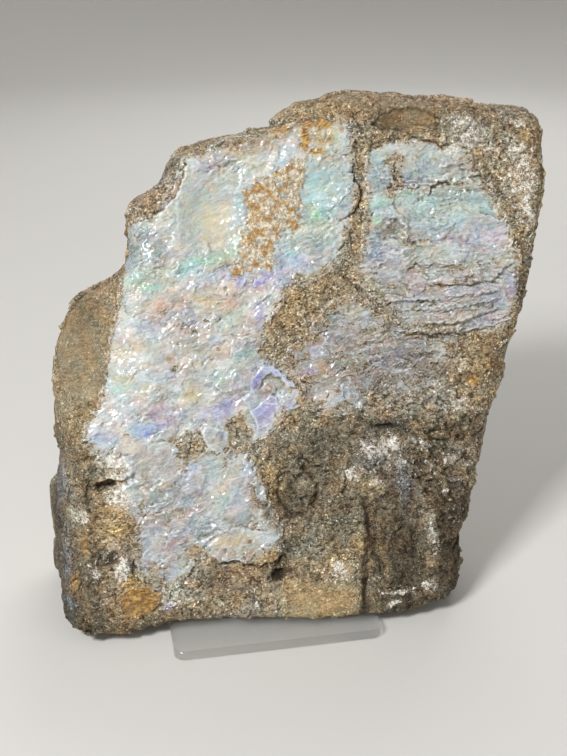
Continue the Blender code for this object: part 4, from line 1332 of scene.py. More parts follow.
@dataclass
class IronstoneBody:
    """The brown body of the stone, all round, with beds cut for the opal."""

    form: StoneForm
    ground: Ground
    name: str = "ironstone_body"
    facing_front: float = 0.35
    facing_back: float = -0.7
    covered_from: float = 0.8
    bed_depth: float = 1.5
    evening_rounds: int = 2
    edge_rounds: tuple[int, int] = (3, 16)
    edge_gain: float = 0.9
    kept: float = 0.77

    def refine(self, mesh: bpy.types.Mesh) -> None:
        """Halve the quads of the front and sides, and the bare front's once more."""
        shell = bmesh.new()
        shell.from_mesh(mesh)
        shell.normal_update()
        self.halve(shell, [face for face in shell.faces if face.normal.z > self.facing_back])
        faces = [face for face in shell.faces if face.normal.z > self.facing_front]
        middles = np.array([face.calc_center_median() for face in faces])
        covered = self.ground.seam_depth(middles) > self.covered_from
        self.halve(shell, [face for face, hidden in zip(faces, covered) if not hidden])
        bmesh.ops.triangulate(shell, faces=[face for face in shell.faces if len(face.verts) > 4])
        shell.to_mesh(mesh)
        shell.free()

    @staticmethod
    def halve(shell: bmesh.types.BMesh, faces: list[bmesh.types.BMFace]) -> None:
        """Cut every edge of the faces in two and fill the faces with quads."""
        edges = {edge for face in faces for edge in face.edges}
        bmesh.ops.subdivide_edges(shell, edges=list(edges), cuts=1, use_grid_fill=True)
        shell.normal_update()

    def read(self, mesh: bpy.types.Mesh) -> Surface:
        """Read the mesh into arrays."""
        edges = read_rows(mesh.edges, "vertices", 2, np.int32).astype(np.int64)
        normals = read_rows(mesh.vertex_normals, "vector", 3)
        return Surface(read_rows(mesh.vertices, "co", 3), edges, normals)

    def shape(self, surface: Surface) -> None:
        """Move the surface's points by the placed relief and the stone's own texture."""
        noise, relief = self.ground.noise, self.ground.relief
        points, fields = surface.points, surface.fields
        front = fields["front"]
        wander = noise.drift(points, 5.0, 3, 26, 27, 28)
        breaks, _, _ = noise.flakes(points + 2.6 * wander, 11.0, 0.16, 0.12, 0.1, 35)
        chips, _, _ = noise.flakes(points + 1.4 * wander, 3.6, 0.22, 0.05, 0.06, 36)
        swell = 0.6 * noise.layered(points, 9.0, 3, 31) + 0.12 * front * noise.layered(points, 1.4, 2, 30)
        grit = 0.2 * noise.smooth(points, 1.7, 33) + 0.2 * noise.smooth(points, 0.95, 34)
        crumbs = 0.6 * (noise.creased(points + 0.5 * wander, 3.2, 4, 32) - 0.5)
        quiet = 1.0 - 0.85 * front * np.minimum(cover_of(relief.quiet, points), 1.0)
        side = 1.0 - front
        rise = quiet * ((0.35 + 0.5 * side) * breaks + 0.8 * chips + (1.0 - 0.3 * side) * swell)
        rise += (1.0 - 0.9 * side) * (quiet * crumbs + grit)
        trough = front * cover_of(relief.trough, points)
        rise += 1.3 * trough * noise.layered(points * (1.0, 0.24, 1.0), 3.4, 4, 37)
        crags = front * cover_of(relief.crags, points)
        shards = noise.creased(points, 3.0, 3, 39) - 0.4
        rise += crags * (1.9 * noise.layered(points, 4.4, 4, 38) + 1.1 * shards)
        rise += fields["chalk"] * (0.25 + 0.5 * np.abs(noise.smooth(points, 1.2, 42)))
        rise += front * self.ground.placed_relief(points)
        fields["line"] = np.zeros(len(points))
        self.ground.set_plates(self.ground.plates.stone, points, rise, fields, front)
        fields["on_stone"] = True
        striations = noise.layered(points * (1.0, 0.15, 0.5), 1.2, 2, 73)
        rise += 0.25 * front * fields["plate"] * cover_of(relief.striated, points) * striations
        rise -= front * self.bed_depth * smooth_step(-0.2, 0.9, fields["seam_depth"])
        direction = surface.normals * (1.0 - front)[:, None] + front[:, None] * np.array((0.0, 0.0, 1.0))
        direction /= np.linalg.norm(direction, axis=1, keepdims=True)
        surface.points = self.form.keep_inside(points + direction * rise[:, None])
        fields["rise"] = rise
        fields["line"] = np.zeros(len(points))
        fields["calm"] = front * np.minimum(cover_of(relief.calm_stone, points), 1.0)
        fields["flake_tint"] = np.zeros((len(points), 3))
        fields["tone"] = np.zeros(len(points))

    def build(self, base: bpy.types.Mesh, finish: bpy.types.Material) -> bpy.types.Object:
        """Build the ironstone.

        Args:
            base: The smooth form, which this method keeps unchanged.
            finish: The ironstone's material.

        Returns:
            The body's mesh object.
        """
        mesh = base.copy()
        mesh.name = self.name
        self.refine(mesh)
        surface = self.read(mesh)
        surface.smooth_points(self.evening_rounds)
        surface.fields["front"] = smooth_step(0.25, 0.65, surface.normals[:, 2])
        surface.fields["seam_depth"] = self.ground.seam_depth(surface.points)
        self.ground.mark(surface, surface.fields["front"])
        self.shape(surface)
        self.ground.mark_edges(surface, *self.edge_rounds, self.edge_gain)
        self.ground.paint(surface)
        mesh.vertices.foreach_set("co", self.form.face.points_to_world(surface.points).ravel())
        mesh.update()
        mesh.shade_smooth()
        store(mesh, surface, FIELDS, TINTS)
        mesh.materials.append(finish)
        item = add_object(self.name, mesh)
        self.thin_out(item)
        return item

    def thin_out(self, item: bpy.types.Object) -> None:
        """Merge the edges that shape the body least, mostly under the opal and behind."""
        thin = item.modifiers.new("thin_out", "DECIMATE")
        thin.ratio = self.kept
        full = item.data
        item.data = evaluated_mesh(item)
        item.modifiers.clear()
        bpy.data.meshes.remove(full)
        points = np.clip(read_rows(item.data.vertices, "co", 3), *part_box(self.form.node))
        item.data.vertices.foreach_set("co", points.ravel())
        item.data.update()


@dataclass
class OpalSeam:
    """One field of opal: a thick closed shell let into the ironstone."""

    form: StoneForm
    ground: Ground
    name: str
    zones: tuple[Zone, ...]
    bedding: float = math.radians(24.0)
    stretch: float = 0.55
    pitch: float = 0.3
    margin: float = 2.6
    root: float = 3.0
    pull: float = 1.6
    probe: float = 0.2
    drop: float = 2.6
    proud: float = 0.15
    evening_rounds: int = 12
    edge_rounds: tuple[int, int] = (2, 14)
    edge_gain: float = 1.5

    def grid(self, base: bpy.types.Mesh) -> tuple[Array, Array]:
        """Lay an even grid over the zones.

        Args:
            base: The smooth form.

        Returns:
            The grid's points on the form, and its quads as rows of four numbers.
        """
        corners = np.array([point for zone in self.zones for point in zone.points])
        low, high = corners.min(0) - self.margin, corners.max(0) + self.margin
        us = np.arange(low[0], high[0], self.pitch)
        vs = np.arange(low[1], high[1], self.pitch)
        spots = np.stack(np.meshgrid(us, vs, indexing="ij"), -1).reshape(-1, 2)
        kept = np.nonzero(depth_in(self.zones, spots) > -self.margin)[0]
        heights = np.full(len(spots), math.nan)
        heights[kept] = self.form.heights(base, spots[kept])
        shape = (len(us), len(vs))
        heights = heights.reshape(shape)
        solid = ~np.isnan(heights)
        cells = solid[:-1, :-1] & solid[1:, :-1] & solid[:-1, 1:] & solid[1:, 1:]
        cells = self.without_pinches(cells)
        index = np.arange(len(spots)).reshape(shape)
        quads = np.stack([index[:-1, :-1], index[1:, :-1], index[1:, 1:], index[:-1, 1:]], -1)[cells]
        used, quads = np.unique(quads, return_inverse=True)
        points = np.column_stack([spots[used], heights.ravel()[used]])
        return points, quads.reshape(-1, 4)

    @staticmethod
    def without_pinches(cells: Array) -> Array:
        """Clear cells that would touch another cell only at a corner."""
        while True:
            a, b, c, d = cells[:-1, :-1], cells[1:, :-1], cells[:-1, 1:], cells[1:, 1:]
            cross = (a & d & ~b & ~c) | (b & c & ~a & ~d)
            if not cross.any():
                return cells
            cells = cells.copy()
            cells[:-1, :-1][cross] = False
            cells[1:, :-1][cross] = False

    def shape(self, surface: Surface) -> None:
        """Break the surface into the flakes and steps of split opal."""
        noise, relief = self.ground.noise, self.ground.relief
        points, fields = surface.points, surface.fields
        u, v = points[:, 0], points[:, 1]
        along = u * math.cos(self.bedding) + v * math.sin(self.bedding)
        across = v * math.cos(self.bedding) - u * math.sin(self.bedding)
        wander = noise.drift(points, 6.0, 3, 11, 12)
        fray = noise.drift(points, 1.6, 2, 13, 14)
        streaked = np.stack([along * self.stretch, across], 1) + 1.8 * wander + 0.4 * fray
        large, large_line, large_own = noise.flakes(streaked, 6.0, 0.16, 0.25, 0.5, 21)
        middle, middle_line, middle_own = noise.flakes(streaked, 2.7, 0.24, 0.12, 0.2, 22)
        small, _, small_own = noise.flakes(streaked + 0.3 * fray, 1.2, 0.3, 0.07, 0.1, 23)
        folded = np.column_stack([streaked + 0.5 * wander, 0.5 * points[:, 2]])
        crumple = noise.creased(folded, 3.6, 4, 24) - 0.5
        bent = folded * (0.75, 1.0, 1.0) + 0.6 * np.column_stack([fray, fray[:, 0]])
        folds = noise.layered(bent, 4.2, 4, 75)
        wrinkle = noise.creased(folded * (0.8, 1.0, 1.0), 1.5, 2, 29) - 0.5
        calm = np.minimum(cover_of(relief.calm_opal, points), 1.0)
        lively = 1.0 - 0.8 * calm
        rough = smooth_step(-0.15, 0.3, noise.layered(points, 9.0, 2, 47))
        rise = lively * (0.45 * large + 0.45 * middle + (0.4 + 0.6 * rough) * small + 0.55 * folds
                         + (0.14 + 0.25 * rough) * crumple + (0.1 + 0.2 * rough) * wrinkle)
        layered = cover_of(relief.layered, points)
        level = 2.2 * noise.layered(points * (0.22, 1.0, 1.0), 7.0, 3, 25) - 0.16 * v
        rise += layered * 0.45 * (0.5 - (level - np.floor(level)))
        level = 1.6 * noise.layered(points * (0.18, 1.0, 1.0), 4.0, 3, 44) - 0.42 * v
        beds = cover_of(relief.bedded, points)
        rise += beds * 0.16 * (0.5 - (level - np.floor(level)))
        shelves = noise.creased(folded * (0.7, 1.0, 1.0) + 0.4 * fray[:, :1], 5.2, 4, 76) - 0.5
        rise += beds * 1.1 * shelves
        rust = fields["rust"]
        rise = rise * (1.0 - 0.5 * rust) + rust * (0.2 + 0.35 * noise.smooth(points, 1.5, 40)
                                                  + 0.3 * noise.smooth(points, 0.8, 41))
        rise += self.ground.placed_relief(points) + self.proud
        broken = lively * smooth_step(-0.1, 0.4, noise.layered(points, 5.0, 2, 45))
        # The line field is a painted highlight along the flakes' broken edges.
        fields["line"] = 0.7 * broken * np.maximum(large_line, 0.7 * middle_line)
        self.ground.set_plates(self.ground.plates.opal, points, rise, fields)
        fields["on_stone"] = False
        fields["opal"] = np.maximum(fields["opal"], self.ground.REACH * fields["plate"])
        rise -= self.drop * smooth_step(-0.7, -1.6, fields["seam_depth"])
        surface.points = points + rise[:, None] * np.array((0.0, 0.0, 1.0))
        fields["rise"] = rise
        shifts = np.array(((0.05, 0.05, 0.05), (-0.07, 0.01, 0.045), (0.02, -0.03, 0.04)))
        own = 0.5 * large_own + 0.6 * middle_own + 0.5 * small_own
        own = own * (1.0 - 0.6 * fields["plate"])[:, None]
        fields["flake_tint"] = (1.0 - 0.6 * calm)[:, None] * (own @ shifts)
        streaks = noise.layered(folded * (0.7, 1.4, 1.0), 3.0, 4, 46)
        fields["tone"] = (1.0 - 0.5 * calm) * (0.38 * streaks + 0.06 * crumple + 0.08 * wrinkle)
        fields["calm"] = calm
        fields["front"] = np.ones(len(points))

    def close(self, shell: bmesh.types.BMesh) -> None:
        """Draw the open edge inwards and back, and fill it, so that the seam is a solid."""
        rim = [edge for edge in shell.edges if edge.is_boundary]
        floor_w = min(vert.co.z for vert in shell.verts) - self.root
        grown = bmesh.ops.extrude_edge_only(shell, edges=rim)["geom"]
        verts = [item for item in grown if isinstance(item, bmesh.types.BMVert)]
        places = np.array([vert.co[:2] for vert in verts])
        slope = np.stack([depth_in(self.zones, places + offset) - depth_in(self.zones, places - offset)
                          for offset in np.array(((self.probe, 0.0), (0.0, self.probe)))], 1)
        length = np.maximum(np.linalg.norm(slope, axis=1, keepdims=True), 1e-6)
        places = places + self.pull * slope / length
        for vert, place in zip(verts, places):
            vert.co = (place[0], place[1], floor_w)
        base_rim = [item for item in grown if isinstance(item, bmesh.types.BMEdge) and item.is_boundary]
        bmesh.ops.triangle_fill(shell, edges=base_rim, use_beauty=False)
        bmesh.ops.recalc_face_normals(shell, faces=shell.faces)

    def build(self, base: bpy.types.Mesh, finish: bpy.types.Material) -> bpy.types.Object:
        """Build the seam.

        Args:
            base: The smooth form that the seam lies in.
            finish: The opal's material.

        Returns:
            The seam's mesh object.
        """
        points, quads = self.grid(base)
        edges = np.unique(np.sort(np.vstack([quads[:, [i, (i + 1) % 4]] for i in range(4)]), 1), axis=0)
        surface = Surface(points, edges)
        surface.points[:, 2] = surface.neighbour_mean(points[:, 2], self.evening_rounds)
        surface.fields["seam_depth"] = self.ground.seam_depth(surface.points)
        self.ground.mark(surface)
        self.shape(surface)
        self.ground.mark_edges(surface, *self.edge_rounds, self.edge_gain)
        self.ground.paint(surface)
        mesh = bpy.data.meshes.new(self.name)
        mesh.from_pydata(self.form.keep_inside(surface.points).tolist(), [], quads.tolist())
        store(mesh, surface, FIELDS, TINTS)
        shell = bmesh.new()
        shell.from_mesh(mesh)
        self.close(shell)
        shell.transform(self.form.face.to_world())
        shell.to_mesh(mesh)
        shell.free()
        mesh.shade_smooth()
        mesh.materials.append(finish)
        return add_object(self.name, mesh)


@dataclass
class BoulderOpal:
    """The whole stone: the ironstone body and the opal let into it."""

    form: StoneForm = field(default_factory=StoneForm)
    slot: str = "opal_in_ironstone"
    seed: int = 7

    def build(self, source: bpy.types.Object, finish: bpy.types.Material) -> None:
        """Build every piece of the stone around its CAD node.

        Args:
            source: The CAD node's object.
            finish: The material of the whole stone.
        """
        ground = Ground(StoneMap(), ReliefMap(), PlateMap(), ColourMap(), Noise(self.seed))
        base = self.form.smooth_mesh(source)
        pieces = [IronstoneBody(self.form, ground).build(base, finish)]
        fields = {"opal_left_field": (ground.zones.left_field, 24.0, 0.55),
                  "opal_right_field": (ground.zones.right_field, 3.0, 0.35),
                  "opal_middle_field": (ground.zones.middle_field, 8.0, 0.4)}
        for name, (zones, bedding, stretch) in fields.items():
            seam = OpalSeam(self.form, ground, name, zones, math.radians(bedding), stretch)
            pieces.append(seam.build(base, finish))
        bpy.data.meshes.remove(base)
        for piece in pieces:
            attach(piece, "root")
            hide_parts(self.form.node)
            piece.data.calc_loop_triangles()
            LOG.info("%s: %d triangles", piece.name, len(piece.data.loop_triangles))


# ------------------------ finishes


class Step(Enum):
    """The steps that finishes are made of: a node's type, settings, inputs and output."""

    FIELD = ("ShaderNodeAttribute", {}, (), "Fac")
    TINT_FIELD = ("ShaderNodeAttribute", {}, (), "Color")
    NOISE = ("ShaderNodeTexNoise", {}, ("Vector", "Scale", "Detail", "Roughness", "Distortion"), "Fac")
    TINT_NOISE = ("ShaderNodeTexNoise", {}, ("Vector", "Scale", "Detail"), "Color")
    GRAINS = ("ShaderNodeTexVoronoi", {}, ("Vector", "Scale"), "Color")
    LAY = ("ShaderNodeMapping", {"vector_type": "TEXTURE"}, ("Vector", "Rotation", "Scale"), "Vector")
    RED = ("ShaderNodeSeparateColor", {}, ("Color",), "Red")
    GREEN = ("ShaderNodeSeparateColor", {}, ("Color",), "Green")
    RAMP = ("ShaderNodeMapRange", {"interpolation_type": "SMOOTHSTEP"},
            ("Value", "From Min", "From Max"), "Result")
    PLUS = ("ShaderNodeMath", {"operation": "ADD"}, (0, 1), 0)
    LESS = ("ShaderNodeMath", {"operation": "SUBTRACT"}, (0, 1), 0)
    TIMES = ("ShaderNodeMath", {"operation": "MULTIPLY"}, (0, 1), 0)
    TIMES_PLUS = ("ShaderNodeMath", {"operation": "MULTIPLY_ADD"}, (0, 1, 2), 0)
    POWER = ("ShaderNodeMath", {"operation": "POWER"}, (0, 1), 0)
    LARGER = ("ShaderNodeMath", {"operation": "MAXIMUM"}, (0, 1), 0)
    SMALLER = ("ShaderNodeMath", {"operation": "MINIMUM"}, (0, 1), 0)
    UNSIGNED = ("ShaderNodeMath", {"operation": "ABSOLUTE"}, (0,), 0)
    LAYER = ("ShaderNodeMix", {"data_type": "RGBA", "blend_type": "MIX"}, (0, 6, 7), 2)
    LAYER_TIMES = ("ShaderNodeMix", {"data_type": "RGBA", "blend_type": "MULTIPLY"}, (0, 6, 7), 2)
    LAYER_PLUS = ("ShaderNodeMix", {"data_type": "RGBA", "blend_type": "ADD"}, (0, 6, 7), 2)
    LAYER_LESS = ("ShaderNodeMix", {"data_type": "RGBA", "blend_type": "SUBTRACT"}, (0, 6, 7), 2)
    BETWEEN = ("ShaderNodeMix", {"data_type": "FLOAT"}, (0, 2, 3), 0)
    BUMP = ("ShaderNodeBump", {}, ("Strength", "Distance", "Height"), "Normal")


class Shading:
    """A material's node tree, filled step by step."""

    bedding: float = 13.0
    stretch: float = 2.4

    def __init__(self, name: str) -> None:
        """Start an empty material."""
        self.material = bpy.data.materials.new(name)
        self.material.use_nodes = True
        self.tree = self.material.node_tree
        self.tree.nodes.clear()

    @cached_property
    def place(self) -> Socket:
        """Return the place in the piece's own metres, where the patterns lie."""
        return add_node(self.tree, "ShaderNodeTexCoord").outputs["Object"]

    @cached_property
    def laid(self) -> Socket:
        """Return the same place, drawn out along the seam's bedding."""
        turn = (0.0, math.radians(-self.bedding), 0.0)
        return self.add(Step.LAY, self.place, turn, (self.stretch, 1.0, 1.0))

    def add(self, step: Step, *values: Value, **settings: str) -> Socket:
        """Add one step.

        Args:
            step: What to add.
            values: For each input a number, an sRGB hex value or the socket to link from.
            settings: Settings that the step leaves open.

        Returns:
            The step's result.
        """
        kind, fixed, sockets, output = step.value
        values = [linear(value) if isinstance(value, str) else value for value in values]
        return add_node(self.tree, kind, {**fixed, **settings}, dict(zip(sockets, values))).outputs[output]

    def pattern(self, step: Step, size: float, *values: float) -> Socket:
        """Add a pattern whose features are about size millimetres wide."""
        return self.add(step, self.place, 1.0 / (size * MM), *values)

    def wisps(self, size: float, warp: float) -> Socket:
        """Return noise drawn out along the bedding and folded by the warp."""
        return self.add(Step.NOISE, self.laid, 1.0 / (size * MM), 5.0, 0.62, warp)

    def around(self, value: Socket) -> Socket:
        """Return how far a value lies from a half."""
        return self.add(Step.UNSIGNED, self.add(Step.LESS, value, 0.5))

    def share(self, value: Socket, low: float, high: float, most: Value) -> Socket:
        """Rise smoothly from 0 at low to most at high."""
        return self.add(Step.TIMES, self.add(Step.RAMP, value, low, high), most)

    def scaled(self, colour: Socket, red: float, green: float, blue: float) -> Socket:
        """Multiply a colour by plain linear factors."""
        return self.add(Step.LAYER_TIMES, 1.0, colour, (red, green, blue, 1.0))

    def tinted(self, colour: Socket, size: float, strength: float) -> Socket:
        """Shift a colour by noise that differs for red, green and blue."""
        noise = self.pattern(Step.TINT_NOISE, size, 2.0)
        shift = self.add(Step.LAYER_LESS, 1.0, noise, (0.5, 0.5, 0.5, 1.0))
        return self.add(Step.LAYER_PLUS, strength, colour, shift)

    def warmed(self, colour: Socket, size: float, strength: float) -> Socket:
        """Turn a colour warmer in some patches and cooler in others."""
        warm_share = self.add(Step.RAMP, self.pattern(Step.NOISE, size, 1.5), 0.33, 0.67)
        cool = (1.0 - strength, 1.0, 1.0 + strength, 1.0)
        warm = (1.0 + strength, 1.0, 1.0 - strength, 1.0)
        return self.add(Step.LAYER_TIMES, 1.0, colour, self.add(Step.LAYER, warm_share, cool, warm))

    def patchy(self, cover: Socket, noise: tuple[float, float, float], broken: float,
               edge: tuple[float, float], fade: float) -> Socket:
        """Break a cover up into ragged patches.

        Args:
            cover: How thick the patches lie.
            noise: The size in millimetres, detail and roughness of the noise.
            broken: How strongly the noise breaks the cover up.
            edge: Where a patch starts and where it is full.
            fade: The cover under which patches thin out to none.

        Returns:
            The patches' own cover, from 0 to 1.
        """
        noise_rise = self.add(Step.LESS, self.pattern(Step.NOISE, *noise), 0.5)
        ragged = self.add(Step.TIMES_PLUS, noise_rise, broken, cover)
        return self.share(ragged, *edge, self.add(Step.RAMP, cover, 0.02, fade))

    def finish(self, inputs: dict) -> bpy.types.Material:
        """End in one Principled shader and return the material."""
        shader = add_node(self.tree, "ShaderNodeBsdfPrincipled", None, inputs)
        add_node(self.tree, "ShaderNodeOutputMaterial", None, {"Surface": shader.outputs["BSDF"]})
        return self.material


@dataclass(frozen=True)
class OpalInIronstone:
    """Precious opal on fine sandy ironstone, split by hammer and left as it broke.

    The ironstone is dull, with grains about half a millimetre wide that catch the light.
    The opal is a hard silica gel: milky, glassy on every small break, and light scatters
    back from it in faint bands of green, blue and violet.
    """

    stone_roughness: float = 0.85
    opal_roughness: float = 0.16
    dull_gain: float = 0.25
    opal_coat: float = 0.8
    coat_roughness: float = 0.12
    ior: float = 1.46
    grain: float = 0.4
    bump_strength: float = 0.75
    bump_depth: float = 0.4
    rust_tints: tuple[str, str, str] = ("#80502a", "#c9a263", "#ece6d0")
    chalk_tints: tuple[str, str] = ("#bdae94", Tint.CHALK.value)
    # Dark resin and pale amber; the pale streaks are partly painted highlights on the glassy amber.
    amber_tints: tuple[str, str] = (Tint.RESIN.value, "#d6ae62")
    # White of the painted highlights on the opal.
    painted_highlight: str = Tint.PEARL.value
    # Pale blue-white of the painted highlight along flake edges.
    edge_highlight_tint: str = "#dcecee"
    # Warm tint of the painted shade in the opal's hollows and dark wisps, which also stands for brown stain
    # in the crevices.
    shadow: str = "#9c8b78"
    # Near-black brown of the painted shade in holes and cracks.
    recess_shade: str = Tint.BLACK_BROWN.value

    def stone(self, make: Shading, fields: dict[str, Socket], shade: Socket, pick: Socket) -> Socket:
        """Return the colour of the ironstone, with fine grains, pale grains that partly paint glints,
        painted highlights on crests and painted shade in hollows.
        """
        add, edge = make.add, fields["edge"]
        earth = make.warmed(make.scaled(fields["earth_tint"], 1.05, 1.0, 0.87), 5.0, 0.08)
        grainy = add(Step.LESS, 1.0, add(Step.TIMES, fields["calm"], 0.6))
        speck = add(Step.LESS, add(Step.RAMP, make.wisps(0.75, 1.6), 0.33, 0.67), 0.5)
        cloud = add(Step.LESS, add(Step.RAMP, make.pattern(Step.NOISE, 3.4, 4.0, 0.7), 0.3, 0.7), 0.5)
        sharp = add(Step.LESS, add(Step.POWER, shade, 1.7), 0.37)
        tone = add(Step.TIMES_PLUS, sharp, 0.6, add(Step.TIMES, speck, 0.7))
        tone = add(Step.TIMES, add(Step.TIMES_PLUS, cloud, 0.35, tone), grainy)
        tone = add(Step.LARGER, add(Step.PLUS, tone, 0.42), 0.0)
        dark, pale = make.scaled(earth, 0.22, 0.19, 0.15), make.scaled(earth, 1.9, 2.05, 2.35)
        stone = add(Step.LAYER, tone, dark, pale)
        # Pale grains, brightened further as painted glints where grains would catch the light.
        patch = add(Step.RAMP, make.pattern(Step.NOISE, 2.2, 3.0, 0.6), 0.45, 0.6)
        grain_and_glint = add(Step.TIMES, make.share(pick, 0.88, 0.94, patch), grainy)
        stone = add(Step.LAYER, grain_and_glint, stone, make.scaled(earth, 3.0, 3.6, 4.8))
        # Painted shade: the stone turns darker where the surface lies in.
        hollow_shade = make.scaled(stone, 0.34, 0.3, 0.26)
        stone = add(Step.LAYER, make.share(edge, 0.46, 0.08, 0.8), stone, hollow_shade)
        # Painted highlight: the stone turns lighter where the surface stands out.
        crest = make.scaled(stone, 1.6, 1.68, 1.8)
        return add(Step.LAYER, make.share(edge, 0.58, 0.95, 0.6), stone, crest)

    def gel(self, make: Shading, fields: dict[str, Socket]) -> Socket:
        """Return the colour of the opal, with painted highlights on its edges, crests and wisps and painted
        shade in its hollows.
        """
        add, edge = make.add, fields["edge"]
        gel = make.warmed(make.tinted(make.tinted(fields["opal_tint"], 3.4, 0.09), 1.2, 0.05), 4.6, 0.1)
        # Painted highlight along the flakes' edges and the plates' rims.
        gel = add(Step.LAYER, add(Step.TIMES, fields["line"], 0.65), gel, self.edge_highlight_tint)
        # Painted highlight: white where the opal's surface stands out.
        gel = add(Step.LAYER, make.share(edge, 0.6, 0.95, 0.75), gel, self.painted_highlight)
        lively = add(Step.LESS, 1.0, add(Step.TIMES, fields["calm"], 0.8))
        # Painted highlights and painted shade: white wisps stand for glints along small edges, darker wisps
        # in the shadow tint lie between them.
        for size, pale, dull in ((1.5, 0.6, 0.4), (0.7, 0.5, 0.45)):
            wisp = make.wisps(size, 1.2)
            over = add(Step.TIMES, lively, make.share(wisp, 0.53, 0.7, pale))
            under = add(Step.TIMES, lively, make.share(wisp, 0.46, 0.31, dull))
            gel = add(Step.LAYER, over, gel, self.painted_highlight)
            gel = add(Step.LAYER, under, gel, add(Step.LAYER_TIMES, 1.0, gel, self.shadow))
        # Painted highlight: thin white lines where flake edges would catch the light.
        patch = add(Step.RAMP, make.pattern(Step.NOISE, 3.6, 3.0, 0.5), 0.48, 0.58)
        crest = make.share(make.around(make.wisps(2.4, 0.9)), 0.03, 0.0, patch)
        gel = add(Step.LAYER, add(Step.TIMES, add(Step.TIMES, crest, lively), 0.6), gel, self.painted_highlight)
        # Painted shade in the opal's hollows, warm enough to read also as brown stain in the crevices.
        shadowed = add(Step.LAYER_TIMES, 1.0, gel, self.shadow)
        return add(Step.LAYER, make.share(edge, 0.42, 0.05, 0.6), gel, shadowed)

    def opal_share(self, make: Shading, fields: dict[str, Socket], shade: Socket) -> Socket:
        """Return where opal shows, with a rough edge and grains of sand over it."""
        add = make.add
        rough = add(Step.TIMES, add(Step.LESS, make.pattern(Step.NOISE, 1.3, 3.0, 0.7), 0.5), 2.4)
        sandy = add(Step.TIMES, add(Step.LESS, shade, 0.5), 0.8)
        crevice = make.share(fields["edge"], 0.5, 0.2, -0.9)
        depth = add(Step.PLUS, add(Step.PLUS, fields["opal"], rough), add(Step.PLUS, sandy, crevice))
        return add(Step.RAMP, depth, -0.4, 0.8)

    def rust(self, make: Shading) -> Socket:
        """Return the colour of the porous rust, with dark veins and pale crumbs."""
        dark, middle, pale = self.rust_tints
        crumbs = make.add(Step.RAMP, make.pattern(Step.NOISE, 2.6, 3.0, 0.6), 0.38, 0.56)
        vein = make.around(make.pattern(Step.NOISE, 2.0, 5.0, 0.75))
        crumbs = make.add(Step.LAYER, crumbs, middle, pale)
        return make.add(Step.LAYER, make.share(vein, 0.06, 0.012, 0.7), crumbs, dark)

    def build(self) -> bpy.types.Material:
        """Return the node material."""
        make = Shading("opal_in_sandy_ironstone")
        add = make.add
        fields = {name: add(Step.FIELD, attribute_name=name) for name in FIELDS}
        fields |= {name: add(Step.TINT_FIELD, attribute_name=name) for name in TINTS}
        grains = make.pattern(Step.GRAINS, self.grain)
        shade, pick = add(Step.RED, grains), add(Step.GREEN, grains)
        rust_share = make.patchy(fields["rust"], (2.3, 5.0, 0.75), 3.4, (0.5, 0.75), 0.12)
        opal = add(Step.TIMES, self.opal_share(make, fields, shade), add(Step.LESS, 1.0, rust_share))
        stone = add(Step.LAYER, rust_share, self.stone(make, fields, shade, pick), self.rust(make))
        colour = add(Step.LAYER, opal, stone, self.gel(make, fields))
        crust = make.patchy(fields["chalk"], (1.5, 4.0, 0.75), 4.4, (0.7, 0.76), 0.12)
        curl = add(Step.RAMP, fields["chalk"], 0.3, 0.6)
        curl = make.share(make.around(make.wisps(1.5, 2.0)), 0.035, 0.012, curl)
        chalk = add(Step.LAYER, add(Step.RAMP, pick, 0.1, 0.55), *self.chalk_tints)
        colour = add(Step.LAYER, add(Step.LARGER, crust, curl), colour, chalk)
        glow = make.patchy(fields["amber"], (2.4, 4.0, 0.6), 2.2, (0.15, 0.9), 0.3)
        # Amber streaks, dark and pale, the pale ones partly painted highlights.
        amber = add(Step.LAYER, add(Step.RAMP, make.wisps(1.5, 1.6), 0.4, 0.62), *self.amber_tints)
        colour = add(Step.LAYER, glow, colour, amber)
        # Painted shade: holes, cracks and the ground under ledges turn near black.
        colour = add(Step.LAYER, add(Step.TIMES, fields["dark"], 0.85), colour, self.recess_shade)
        glassy = add(Step.LARGER, opal, glow)
        sand = add(Step.TIMES, make.pattern(Step.NOISE, 0.8, 4.0, 0.7), 1.8)
        sand = add(Step.TIMES_PLUS, shade, 0.7, sand)
        fold = add(Step.SMALLER, make.around(make.wisps(1.7, 1.2)), 0.12)
        fold = add(Step.TIMES_PLUS, fold, -3.0, make.wisps(1.0, 1.0))
        height = add(Step.LAYER, glassy, sand, fold)
        gloss = add(Step.RAMP, make.pattern(Step.NOISE, 3.3, 3.0, 0.5), 0.3, 0.7)
        gloss = add(Step.TIMES_PLUS, gloss, self.dull_gain, self.opal_roughness)
        return make.finish({
            "Base Color": colour, "Roughness": add(Step.BETWEEN, glassy, self.stone_roughness, gloss),
            "IOR": self.ior, "Coat Weight": add(Step.TIMES, glassy, self.opal_coat),
            "Coat Roughness": self.coat_roughness,
            "Normal": add(Step.BUMP, self.bump_strength, self.bump_depth * MM, height)})


@dataclass(frozen=True)
class ClearAcrylic:
    """Cast acrylic sheet, laser cut with flame-polished edges: clear, with bright edges."""

    ior: float = 1.49
    roughness: float = 0.04
    clearness: float = 1.0
    body: float = 0.4
    colour: str = "#f6f9f9"

    def build(self) -> bpy.types.Material:
        """Return the node material."""
        return Shading("clear_cast_acrylic").finish({
            "Base Color": linear(self.colour), "Roughness": self.roughness, "IOR": self.ior,
            "Transmission Weight": self.clearness, "Alpha": self.body})


# ------------------------ the stand


@dataclass
class AcrylicStand:
    """The two clear sheets under and behind the stone."""

    plate_node: str = "base_plate"
    rest_node: str = "back_rest"

    def dress(self, nodes: dict[str, bpy.types.Object], finish: bpy.types.Material) -> None:
        """Give the CAD sheets their clear finish."""
        for name in (self.plate_node, self.rest_node):
            mesh = nodes[name].data
            mesh.materials.clear()
            mesh.materials.append(finish)
            LOG.info("%s: clear acrylic", name)


